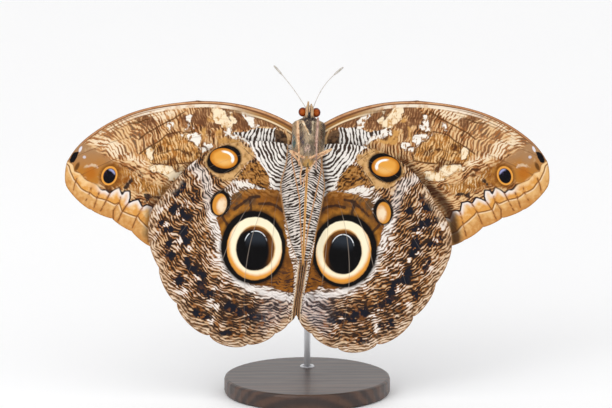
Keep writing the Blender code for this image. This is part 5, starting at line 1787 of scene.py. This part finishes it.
@dataclass
class BodyCoat:
    """Where the tufts of the body stand, and how they lie."""

    skin: BodySkin
    finish: bpy.types.Material
    count: int = 9500
    seed: int = 11

    def build(self) -> bpy.types.Object:
        """Models the body's coat."""
        rng = np.random.default_rng(self.seed)
        table = self.skin.rows()
        last = len(table) - 1
        half_mid = (table[1:, 1] + table[:-1, 1]) / 2
        area = np.abs(np.diff(table[:, 0])) * half_mid + 0.2 * np.abs(np.diff(table[:, 1]))
        middle = (table[1:, 0] + table[:-1, 0]) / 2
        area = area * np.where(middle > -6.0, 1.9, 0.55)
        area[middle > 9.8] *= 1.5
        chosen = rng.choice(len(area), self.count, p=area / area.sum())
        row = np.clip(chosen + rng.uniform(0, 1, self.count), 0.35, last - 0.35)
        angle = rng.uniform(-math.pi, math.pi, self.count)
        points = self.skin.at(row, angle)
        along = self.skin.at(row + 0.15, angle) - self.skin.at(row - 0.15, angle)
        around = self.skin.at(row, angle + 0.05) - self.skin.at(row, angle - 0.05)
        normals = unit(np.cross(around, along))
        outward = points * (1.0, 0.0, 1.0)
        normals *= np.sign(np.sum(normals * outward, axis=1))[:, None]
        v = points[:, 1]
        out = np.sign(points[:, 0]) * smoothstep(0.0, 3.0, np.abs(points[:, 0]))
        lie = np.stack([0.45 * out, -np.ones_like(v), np.zeros_like(v)], axis=1)
        lie += rng.normal(0.0, 0.20, lie.shape)
        lie[v > 12.2, 1] = 0.8
        head = smoothstep(9.6, 10.2, v)
        belly = smoothstep(-5.5, -7.0, v)
        length = rng.uniform(0.9, 1.7, self.count) * (1 - 0.58 * head) * (1 - 0.42 * belly)
        width = rng.uniform(0.11, 0.19, self.count) * (1 - 0.35 * head)
        lift = rng.uniform(7.0, 17.0, self.count)
        unwrap = np.stack([(angle / (2 * math.pi) + 0.5), 1.0 - row / last], axis=1)
        keep = np.ones(self.count, bool)
        for side in Side:
            eye = (points - np.array(EYE_PLACE) * (side.value, 1, 1)) / np.array(EYE_RADII)
            keep &= np.linalg.norm(eye, axis=1) > 1.02
        coat = Coat("body_coat", self.finish, self.seed)
        rows = (points, normals, lie, length, width, lift, unwrap)
        return coat.build(*(values[keep] for values in rows))


@dataclass(frozen=True)
class Tube:
    """A limb, a feeler or the tongue: a round rod of changing girth through its knots, in body mm."""

    name: str
    knots: tuple[Knot, ...]
    steps: int = 8
    pinch: float = 0.0
    sides: int = 5
    rounding: tuple[Point, ...] = ((0.5, 0.84), (0.92, 0.30))

    def path(self) -> np.ndarray:
        """Points and radii along the tube, narrowed at its joints, with round ends."""
        rows = smooth_run(np.array(self.knots), self.steps)
        joints = np.arange(1, len(self.knots) - 1) * self.steps
        index = np.arange(len(rows))
        for joint in joints:
            rows[:, 3] *= 1.0 - self.pinch * np.exp(-(((index - joint) / (0.10 * self.steps)) ** 2))
        rows[:, 3] = np.maximum(rows[:, 3], 0.04)
        ends = []
        for end, following in ((rows[0], rows[1]), (rows[-1], rows[-2])):
            away = end[:3] - following[:3]
            away = away * (end[3] / np.linalg.norm(away))
            ends.append([[*(end[:3] + away * out), end[3] * girth] for out, girth in self.rounding])
        return np.vstack([ends[0][::-1], rows, ends[1]])

    def build(self, finish: bpy.types.Material) -> bpy.types.Object:
        """Draws the path as a curve with a round section, and makes it a mesh.

        Args:
            finish: Its material.

        Returns:
            The finished tube.
        """
        rows = self.path()
        world = POSE.body_world(rows[:, :3])
        add_curve = bpy.ops.curve.primitive_bezier_curve_add
        obj = added(add_curve, self.name, radius=MM, location=(0.0, 0.0, 0.0))
        curve = obj.data
        curve.splines.clear()
        spline = curve.splines.new("POLY")
        spline.points.add(len(rows) - 1)
        spline.points.foreach_set("co", np.hstack([world, np.ones((len(rows), 1))]).ravel())
        spline.points.foreach_set("radius", rows[:, 3])
        curve.bevel_depth = MM
        curve.bevel_resolution = self.sides
        curve.use_fill_caps = True
        bpy.ops.object.convert(target="MESH")
        obj = bpy.context.object
        obj.data.materials.clear()
        obj.data.materials.append(finish)
        obj.data.shade_smooth()
        return obj


def joined(objects: Sequence[bpy.types.Object], name: str) -> bpy.types.Object:
    """Joins objects into one, as by hand, under the first one's place in the scene."""
    bpy.ops.object.select_all(action="DESELECT")
    for obj in objects:
        obj.select_set(True)
    bpy.context.view_layer.objects.active = objects[0]
    if len(objects) > 1:
        bpy.ops.object.join()
    objects[0].name = objects[0].data.name = name
    return objects[0]


@dataclass(frozen=True)
class Shell:
    """A smooth horny surface, such as a leg's, mottled in two colours."""

    name: str
    light: str
    dark: str
    size: float = 0.8
    roughness: float = 0.5

    def make(self) -> bpy.types.Material:
        """Makes the material."""
        net = Net(self.name, Specular_IOR_Level=0.4, Sheen_Weight=0.2)
        place = net.place()
        mottle = net.noise(place, self.size, 71.0, 3.0)
        net.colour = net.blend(self.light, self.dark, mottle.rise(0.42, 0.66))
        fine = net.noise(place, 0.12, 72.0, 2.0)
        net.lay("F3E2CC", fine.rise(0.58, 0.75) * 0.35)
        net.feed("Base Color", net.colour)
        net.feed("Roughness", self.roughness + 0.25 * mottle)
        net.bump(fine, 0.05, 0.7)
        return net.material


@dataclass(frozen=True)
class EyeGloss:
    """The compound eye: orange-brown, with painted shade that darkens it towards its outline, and fine facets
    under a gloss.
    """

    name: str = "compound eye"

    def make(self) -> bpy.types.Material:
        """Makes the material."""
        net = Net(self.name, Roughness=0.3, Specular_IOR_Level=0.12, Coat_Weight=0.12, Coat_Roughness=0.06)
        place = net.place()
        rim = Value(net, net.node("ShaderNodeLayerWeight", {}, {"Blend": 0.35}).outputs["Facing"])
        haze = net.noise(place, 0.9, 73.0)
        # Painted shade: the eye darkens as its surface turns away from the view, towards its outline.
        net.colour = net.blend("C4641C", "842E08", (rim + haze * 0.3).rise(0.14, 0.42))
        net.lay("2C0C07", (rim + haze * 0.25).rise(0.36, 0.78))
        facets = net.cells(place, 0.085)
        net.lay("5C2108", facets.rise(0.35, 0.60) * 0.35)
        net.feed("Base Color", net.colour)
        net.bump(facets.rise(0.6, 0.1), 0.02, 0.5)
        return net.material


ANTENNA_TIP = {Side.RIGHT: (-11.2, 24.9, -11.5), Side.LEFT: (9.4, 25.3, -11.5)}
ANTENNA_BOW = {Side.RIGHT: 0.45, Side.LEFT: 1.3}


@dataclass
class Head:
    """Eyes, palps, feelers and tongue."""

    fur: bpy.types.Material
    eye: bpy.types.Material
    limb: bpy.types.Material
    feeler: bpy.types.Material
    palp: tuple[Knot, ...] = (
        (0.80, 9.9, 1.4, 0.36), (0.80, 9.7, 2.9, 0.38), (0.74, 11.3, 3.3, 0.40), (0.58, 12.9, 2.9, 0.32),
        (0.46, 14.0, 2.4, 0.14),
    )
    short_palp: float = 0.7
    palp_tufts: int = 420
    antenna_root: tuple[float, float, float] = (0.85, 12.1, -0.4)
    antenna_radius: float = 0.125
    antenna_rings: int = 161
    club_radius: float = 0.34
    tongue_turns: float = 2.2
    tongue_middle: Point = (12.0, 3.35)

    def build_eye(self, side: Side) -> bpy.types.Object:
        """Models one eye."""
        sizes = {"segments": 64, "ring_count": 40, "radius": 1.0}
        obj = added(bpy.ops.mesh.primitive_uv_sphere_add, f"compound_eye_{side.word}", **sizes)
        ball = points_of(obj)[:, [2, 0, 1]] * np.array(EYE_RADII)
        centre = np.array(EYE_PLACE) * (side.value, 1, 1)
        obj.data.vertices.foreach_set("co", POSE.body_world(ball + centre).ravel())
        obj.data.update()
        obj.data.materials.append(self.eye)
        obj.data.shade_smooth()
        turn_outwards(obj)
        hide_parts(f"eye_{side.word}")
        return obj

    def build_palp(self, side: Side) -> bpy.types.Object:
        """Models one palp with its short brush of hair."""
        less = self.short_palp / 4.2 if side is Side.LEFT else 0.0
        knots = tuple((side.value * u, v - less * (v - 9.9), w, r) for u, v, w, r in self.palp)
        tube = Tube(f"palp_skin_{side.word}", knots)
        core = tube.build(self.fur)
        rows = tube.path()
        world = POSE.body_world(rows[:, :3])
        away = points_of(core)[:, None, :] - world[None]
        nearest = np.argmin(np.linalg.norm(away, axis=2), axis=1)
        places = self.palp_places(rows[nearest, :3], side)
        dress_fur(core, places, np.full(len(nearest), 0.3), np.full(len(nearest), 0.4))
        for layer in core.data.uv_layers:
            layer.name = "OFBake"

        rng = np.random.default_rng(21 + side.value)
        count = self.palp_tufts
        index = rng.uniform(2, len(rows) - 3, count)
        angle = rng.uniform(0, 2 * math.pi, count)
        low = np.floor(index).astype(int)
        part = (index - low)[:, None]
        centre = rows[low, :3] * (1 - part) + rows[low + 1, :3] * part
        radius = rows[low, 3] * (1 - part[:, 0]) + rows[low + 1, 3] * part[:, 0]
        run = unit(rows[low + 1, :3] - rows[low, :3])
        first = unit(np.cross(run, (0.3, 0.1, 0.95)))
        second = np.cross(run, first)
        normals = first * np.cos(angle)[:, None] + second * np.sin(angle)[:, None]
        points = centre + normals * radius[:, None] * 0.97
        unwrap = np.stack([angle / (2 * math.pi), index / len(rows)], axis=1)
        coat = Coat(f"palp_coat_{side.word}", self.fur, 31 + side.value, sunk=0.05)
        lie = run + rng.normal(0, 0.12, run.shape)
        sizes = [rng.uniform(low, high, count) for low, high in ((0.45, 0.8), (0.09, 0.14), (6.0, 14.0))]
        tufts = coat.build(points, normals, lie, *sizes, unwrap)
        each = len(tufts.data.vertices) // count
        values = np.repeat(self.palp_places(points, side), each, axis=0)
        tufts.data.attributes["place"].data.foreach_set("vector", values.astype(np.float32).ravel())
        whole = joined([tufts, core], f"palp_fur_{side.word}")
        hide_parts(f"palp_{side.word}")
        return whole

    def palp_places(self, points: np.ndarray, side: Side) -> np.ndarray:
        """Where on the body's pattern a palp takes its colour: tan outside, blue-grey in the gap."""
        places = points.copy()
        outer = (points[:, 0] * side.value > 0.42) | (points[:, 1] > 12.4)
        places[:, 0] = np.where(outer, side.value * 1.4, side.value * 0.40)
        return places

    def build_antenna(self, side: Side) -> bpy.types.Object:
        """Models one feeler: a thin ringed shaft that ends in a slim club."""
        tip, inward = ANTENNA_TIP[side], ANTENNA_BOW[side]
        root = np.array(self.antenna_root) * (side.value, 1, 1)
        shares = np.linspace(0.0, 1.0, self.antenna_rings)
        bow = np.array([-side.value * 0.8, 0.6, 0.0]) * inward
        path = root + (np.array(tip) - root) * shares[:, None] + bow * np.sin(math.pi * shares)[:, None]
        club = smoothstep(0.74, 0.87, shares) * (1 - 0.5 * smoothstep(0.95, 1.0, shares))
        rings = 1.0 + 0.08 * np.cos(np.arange(len(shares)) * math.pi)
        radii = (self.antenna_radius + (self.club_radius - self.antenna_radius) * club) * rings
        knots = tuple(map(tuple, np.hstack([path, radii[:, None]])))
        obj = Tube(f"feeler_{side.word}", knots, steps=1, sides=3).build(self.feeler)
        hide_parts(f"antenna_{side.word}")
        return obj

    def build_tongue(self) -> bpy.types.Object:
        """Models the tongue, coiled flat between the palps."""
        angles = np.linspace(0.0, 2 * math.pi * self.tongue_turns, 90)
        radii = 0.85 - 0.34 * angles / (2 * math.pi)
        wire = np.linspace(0.13, 0.08, len(angles))
        v, w = self.tongue_middle
        knots = tuple(
            (0.0, v + r * math.cos(a), w + r * math.sin(a), g) for a, r, g in zip(angles, radii, wire)
        )
        obj = Tube("tongue_coil", knots, steps=1, sides=3).build(self.limb)
        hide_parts("proboscis")
        return obj


LEGS: dict[str, tuple[Knot, ...]] = {
    "foreleg_right": ((-1.5, 7.6, 2.4, 0.45), (-1.8, 8.2, 4.2, 0.42), (-0.9, 6.6, 4.7, 0.38),
                      (0.2, 4.6, 4.75, 0.28)),
    "foreleg_left": ((1.2, 7.6, 2.4, 0.45), (1.2, 8.3, 4.2, 0.42), (1.15, 6.6, 4.7, 0.38),
                     (1.1, 4.6, 4.75, 0.28)),
    "midleg_right": ((-2.9, 1.4, 2.6, 0.50), (-3.0, 2.2, 4.6, 0.46), (-3.4, 7.6, 4.4, 0.42),
                     (-3.2, 7.2, 5.3, 0.40), (-2.7, 0.2, 5.6, 0.34), (-2.4, -4.6, 5.1, 0.27)),
    "midleg_left": ((2.2, 1.4, 2.6, 0.50), (2.4, 2.2, 4.7, 0.46), (2.6, 8.8, 4.4, 0.42),
                    (2.6, 8.4, 5.4, 0.40), (2.6, 0.4, 5.8, 0.34), (2.7, -5.3, 5.5, 0.27)),
    "hindleg_right": ((-1.0, -2.0, 2.0, 0.50), (-1.5, -2.2, 4.2, 0.46), (-5.0, -0.6, 4.0, 0.42),
                      (-4.6, -1.4, 4.2, 0.40), (-1.8, -4.6, 4.4, 0.34), (-1.9, -7.6, 4.5, 0.28),
                      (-1.6, -10.2, 4.55, 0.25)),
    "hindleg_left": ((0.8, -2.0, 2.0, 0.50), (1.3, -2.2, 4.2, 0.46), (6.6, 0.4, 4.0, 0.44),
                     (6.2, -0.3, 4.2, 0.42), (2.9, -2.6, 4.4, 0.36), (0.9, -5.8, 4.5, 0.30),
                     (-0.5, -8.3, 4.5, 0.28), (-0.9, -10.8, 4.55, 0.25)),
}


@dataclass
class Legs:
    """The six folded legs, each with its joints, spurs and claws."""

    finishes: Mapping[str, bpy.types.Material]
    slim: float = 0.68
    stout: float = 0.88
    thorns: tuple[tuple[str, int, tuple[Knot, ...]], ...] = (
        ("_claw", -1, ((0.0, 0.0, 0.0, 0.12), (0.28, 0.14, 0.0, 0.08), (0.44, 0.15, -0.10, 0.04))),
        ("_spur", -2, ((0.0, 0.0, 0.0, 0.12), (0.42, 0.30, 0.05, 0.07), (0.80, 0.42, 0.0, 0.04))),
    )

    def build(self) -> list[bpy.types.Object]:
        """Models all six."""
        return [self.leg(name, knots) for name, knots in LEGS.items()]

    def leg(self, name: str, knots: tuple[Knot, ...]) -> bpy.types.Object:
        """Models one leg through its knots.

        Args:
            name: The solid that it replaces.
            knots: Its path, from the body to the claws.

        Returns:
            The leg with a pair of claws at its end and a pair of spurs at the joint before.
        """
        finish = self.finishes[name if name in self.finishes else name.split("_")[1]]
        girth = self.slim if name.startswith("fore") or name == "hindleg_left" else self.stout
        path = tuple((u, v, w, r * (1.0 if i < 2 else girth)) for i, (u, v, w, r) in enumerate(knots))
        pieces = [Tube(name + "_shaft", path, steps=10, pinch=0.24, sides=4).build(finish)]
        end, before = np.array(knots[-1]), np.array(knots[-2])
        run = (end - before)[:3] / np.linalg.norm((end - before)[:3])
        for ending, knot, thorn in self.thorns:
            root = np.array(knots[knot])[:3]
            for turn in (-1.0, 1.0):
                rows = tuple((*(root + run * out + (turn * aside, 0, up)), r) for out, aside, up, r in thorn)
                pieces.append(Tube(name + ending, rows, steps=3, sides=2).build(finish))
        whole = joined(pieces, name + "_limb")
        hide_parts(name)
        return whole


# Stand and studio


@dataclass(frozen=True)
class TurnedWood:
    """Dark hardwood with fine grain under a satin varnish."""

    name: str = "turned hardwood"

    def make(self) -> bpy.types.Material:
        """Makes the material."""
        net = Net(self.name, Coat_Weight=0.25, Coat_Roughness=0.25)
        place = net.place()
        x, y, z = net.parts(place)
        along = net.join(x * 0.10, y, z)
        grain = net.noise(along, 1.1, 81.0, 4.0)
        rings = net.lines((y + z * 0.6 + net.wander(along, 7.0, 2.2, 82.0)) * 0.26)
        net.colour = net.blend("4A2E1D", "2B1810", (rings + grain * 0.8).rise(0.55, 1.25))
        pores = net.noise(net.join(x * 0.08, y, z), 0.28, 83.0, 2.0).rise(0.62, 0.74)
        net.lay("180D08", pores * 0.7)
        net.feed("Base Color", net.colour)
        net.feed("Roughness", 0.34 + grain * 0.2)
        net.bump(1.0 - pores, 0.04, 0.5)
        return net.material


@dataclass(frozen=True)
class BrushedSteel:
    """Steel rod with fine draw marks."""

    name: str = "drawn steel"

    def make(self) -> bpy.types.Material:
        """Makes the material."""
        net = Net(self.name, Metallic=1.0)
        x, y, z = net.parts(net.place())
        marks = net.noise(net.join(x * 6.0, y * 6.0, z * 0.4), 1.0, 91.0, 3.0)
        net.feed("Base Color", net.blend("B9B9BC", "D6D6D8", marks))
        net.feed("Roughness", 0.22 + 0.22 * marks)
        net.bump(marks, 0.02, 0.4)
        return net.material


@dataclass
class Stand:
    """The turned base and the steel rod, kept from the solids, with a small collar where they meet."""

    wood: bpy.types.Material
    steel: bpy.types.Material
    rod_place: tuple[float, float, float] = (0.0, 12.0, 5.0)
    collar_radius: float = 1.75
    collar_girth: float = 0.45

    def build(self, nodes: Mapping[str, bpy.types.Object]) -> list[bpy.types.Object]:
        """Dresses both solids and adds the collar.

        Args:
            nodes: The solids by name.

        Returns:
            The new pieces.
        """
        for name, finish in (("stand_base", self.wood), ("stand_rod", self.steel)):
            for slot in nodes[name].material_slots:
                slot.material = finish
        collar = added(
            bpy.ops.mesh.primitive_torus_add, "rod_collar", major_radius=self.collar_radius * MM,
            minor_radius=self.collar_girth * MM, major_segments=64, minor_segments=16,
            location=(0.0, 0.0, 0.0),
        )
        edit_all(collar, bpy.ops.transform.translate, value=tuple(part * MM for part in self.rod_place))
        collar.data.materials.append(self.steel)
        collar.data.shade_smooth()
        return [collar]


@dataclass(frozen=True)
class Studio:
    """Pale floor, soft light and the camera that stands where the photo's did."""

    distance: float = 1.8
    frame_width: float = 0.1831
    sensor: float = 36.0
    target: tuple[float, float, float] = (0.0, -16.2, 0.0)
    floor_radius: float = 6.4
    floor_flat: float = 4.6
    floor_rise: float = 0.45
    floor_gap: float = 0.00005
    near_clip: float = 0.01
    far_clip: float = 20.0
    world_light: float = 0.97
    key_power: float = 1.3
    key_size: float = 0.5
    key_place: tuple[float, float, float] = (-0.42, -0.62, 0.62)
    key_aim: tuple[float, float, float] = (0.0, 0.0, 0.06)

    def build(self) -> None:
        """Sets up floor, lights and camera."""
        self.build_floor()
        self.build_lights()
        self.build_camera()
        bpy.context.scene.view_settings.view_transform = "Standard"

    def build_floor(self) -> None:
        """A wide pale dish that curves up far from the object."""
        sizes = {"x_subdivisions": 96, "y_subdivisions": 96, "size": 2 * self.floor_radius}
        floor = added(bpy.ops.mesh.primitive_grid_add, "studio_floor", **sizes)
        for vertex in floor.data.vertices:
            away = math.hypot(vertex.co.x, vertex.co.y)
            vertex.co.z = self.floor_rise * max(0.0, away - self.floor_flat) ** 2 - self.floor_gap
        floor.data.shade_smooth()
        net = Net("studio floor", Roughness=0.9, Specular_IOR_Level=0.1)
        haze = net.noise(net.place(), 180.0, 95.0)
        net.feed("Base Color", net.blend("FDFDFD", "FAFAFB", haze))
        floor.data.materials.append(net.material)

    def build_lights(self) -> None:
        """A bright room and one large soft light from the upper left."""
        world = bpy.data.worlds.new("studio")
        bpy.context.scene.world = world
        world.use_nodes = True
        background = world.node_tree.nodes["Background"]
        background.inputs["Color"].default_value = (1.0, 1.0, 1.0, 1.0)
        background.inputs["Strength"].default_value = self.world_light
        bpy.ops.object.light_add(type="AREA", location=self.key_place)
        key = bpy.context.object
        key.name = "key_light"
        key.data.shape = "DISK"
        key.data.size = self.key_size
        key.data.energy = self.key_power
        aim = bpy.data.objects.new("light_aim", None)
        bpy.context.scene.collection.objects.link(aim)
        aim.location = self.key_aim
        track = key.constraints.new("TRACK_TO")
        track.target, track.track_axis, track.up_axis = aim, "TRACK_NEGATIVE_Z", "UP_Y"

    def build_camera(self) -> None:
        """Looks square on to the wings, at the photo's framing."""
        lean = math.radians(POSE.lean)
        x, y, z = POSE.world(np.array(self.target)).tolist()
        place = (x, y - self.distance * math.cos(lean), z + self.distance * math.sin(lean))
        bpy.ops.object.camera_add(location=place, rotation=(math.pi / 2 - lean, 0.0, 0.0))
        camera = bpy.context.object
        camera.name = "photo_camera"
        camera.data.sensor_width = self.sensor
        camera.data.lens = self.sensor * self.distance / self.frame_width
        camera.data.clip_start = self.near_clip
        camera.data.clip_end = self.far_clip
        bpy.context.scene.camera = camera


FORE_POSE = {Side.RIGHT: {}, Side.LEFT: {"tuck": 1.9}}
HIND_POSE = {
    Side.RIGHT: {},
    Side.LEFT: {"sweep": 7.5, "crease": 4.9, "strand": ((-32.0, -22.6, -6.5), (0.3, 1.2, 4.1))},
}


def build_wings() -> list[bpy.types.Object]:
    """Models and dresses all four wings."""
    made = []
    upper = {hind: Upperside(hind).make() for hind in (False, True)}
    for side in Side:
        fore = Forewing(
            side, name=f"forewing_sheet_{side.word}", outlines=FORE_OUTLINES, lines=FORE_LINES,
            **FORE_POSE[side],
        )
        obj = fore.build(ForewingUnderside(side).make(), upper[False])
        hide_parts(f"forewing_{side.word}")
        made.append(obj)
        hind = Hindwing(
            side, name=f"hindwing_sheet_{side.word}", outlines=HIND_OUTLINES, lines=HIND_LINES,
            **HIND_POSE[side],
        )
        obj = hind.build(HindwingUnderside(side).make(), upper[True])
        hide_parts(f"hindwing_{side.word}")
        made.append(obj)
        LOG.info("wings on the %s side are done", side.word)
    return made


def build_body() -> list[tuple[bpy.types.Object, str]]:
    """Models the body, its coat, head and legs.

    Returns:
        Each piece with its material slot.
    """
    fur = Fur().make()
    limb = Shell("leg", "EBC498", "B98058").make()
    rosy = Shell("rosy leg", "C8A692", "8C6658").make()
    grey = Shell("grey leg", "C4B494", "7E6C55").make()
    pale = Shell("pale leg", "F4E0C0", "CDA374").make()
    feeler = Shell("feeler", "D2CCC4", "AFA79C", roughness=0.6).make()
    skin = BodySkin()
    body = skin.build(fur)
    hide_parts("head", "thorax", "abdomen")
    coat = BodyCoat(skin, fur).build()
    head = Head(fur, EyeGloss().make(), limb, feeler)
    made = [(body, "body"), (coat, "body"), (head.build_tongue(), "limb")]
    for side in Side:
        made += [(head.build_eye(side), "eye"), (head.build_palp(side), "body")]
        made += [(head.build_antenna(side), "antenna")]
    legs = {
        "right": limb, "left": rosy, "foreleg_left": grey, "foreleg_right": pale, "hindleg_left": limb,
    }
    made += [(leg, "limb") for leg in Legs(legs).build()]
    LOG.info("the body has %d pieces", len(made))
    return made


def main() -> None:
    """Builds the butterfly, its stand and the studio round them."""
    logging.basicConfig(level=logging.INFO, format="%(message)s")
    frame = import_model()
    pieces = [(wing, "wing") for wing in build_wings()]
    pieces += build_body()
    stand = Stand(TurnedWood().make(), BrushedSteel().make()).build(frame["nodes"])
    pieces += [(piece, "steel") for piece in stand]
    for piece, slot in pieces:
        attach(piece, "root")
    Studio().build()
    bpy.context.view_layer.update()


if __name__ == "__main__":
    main()
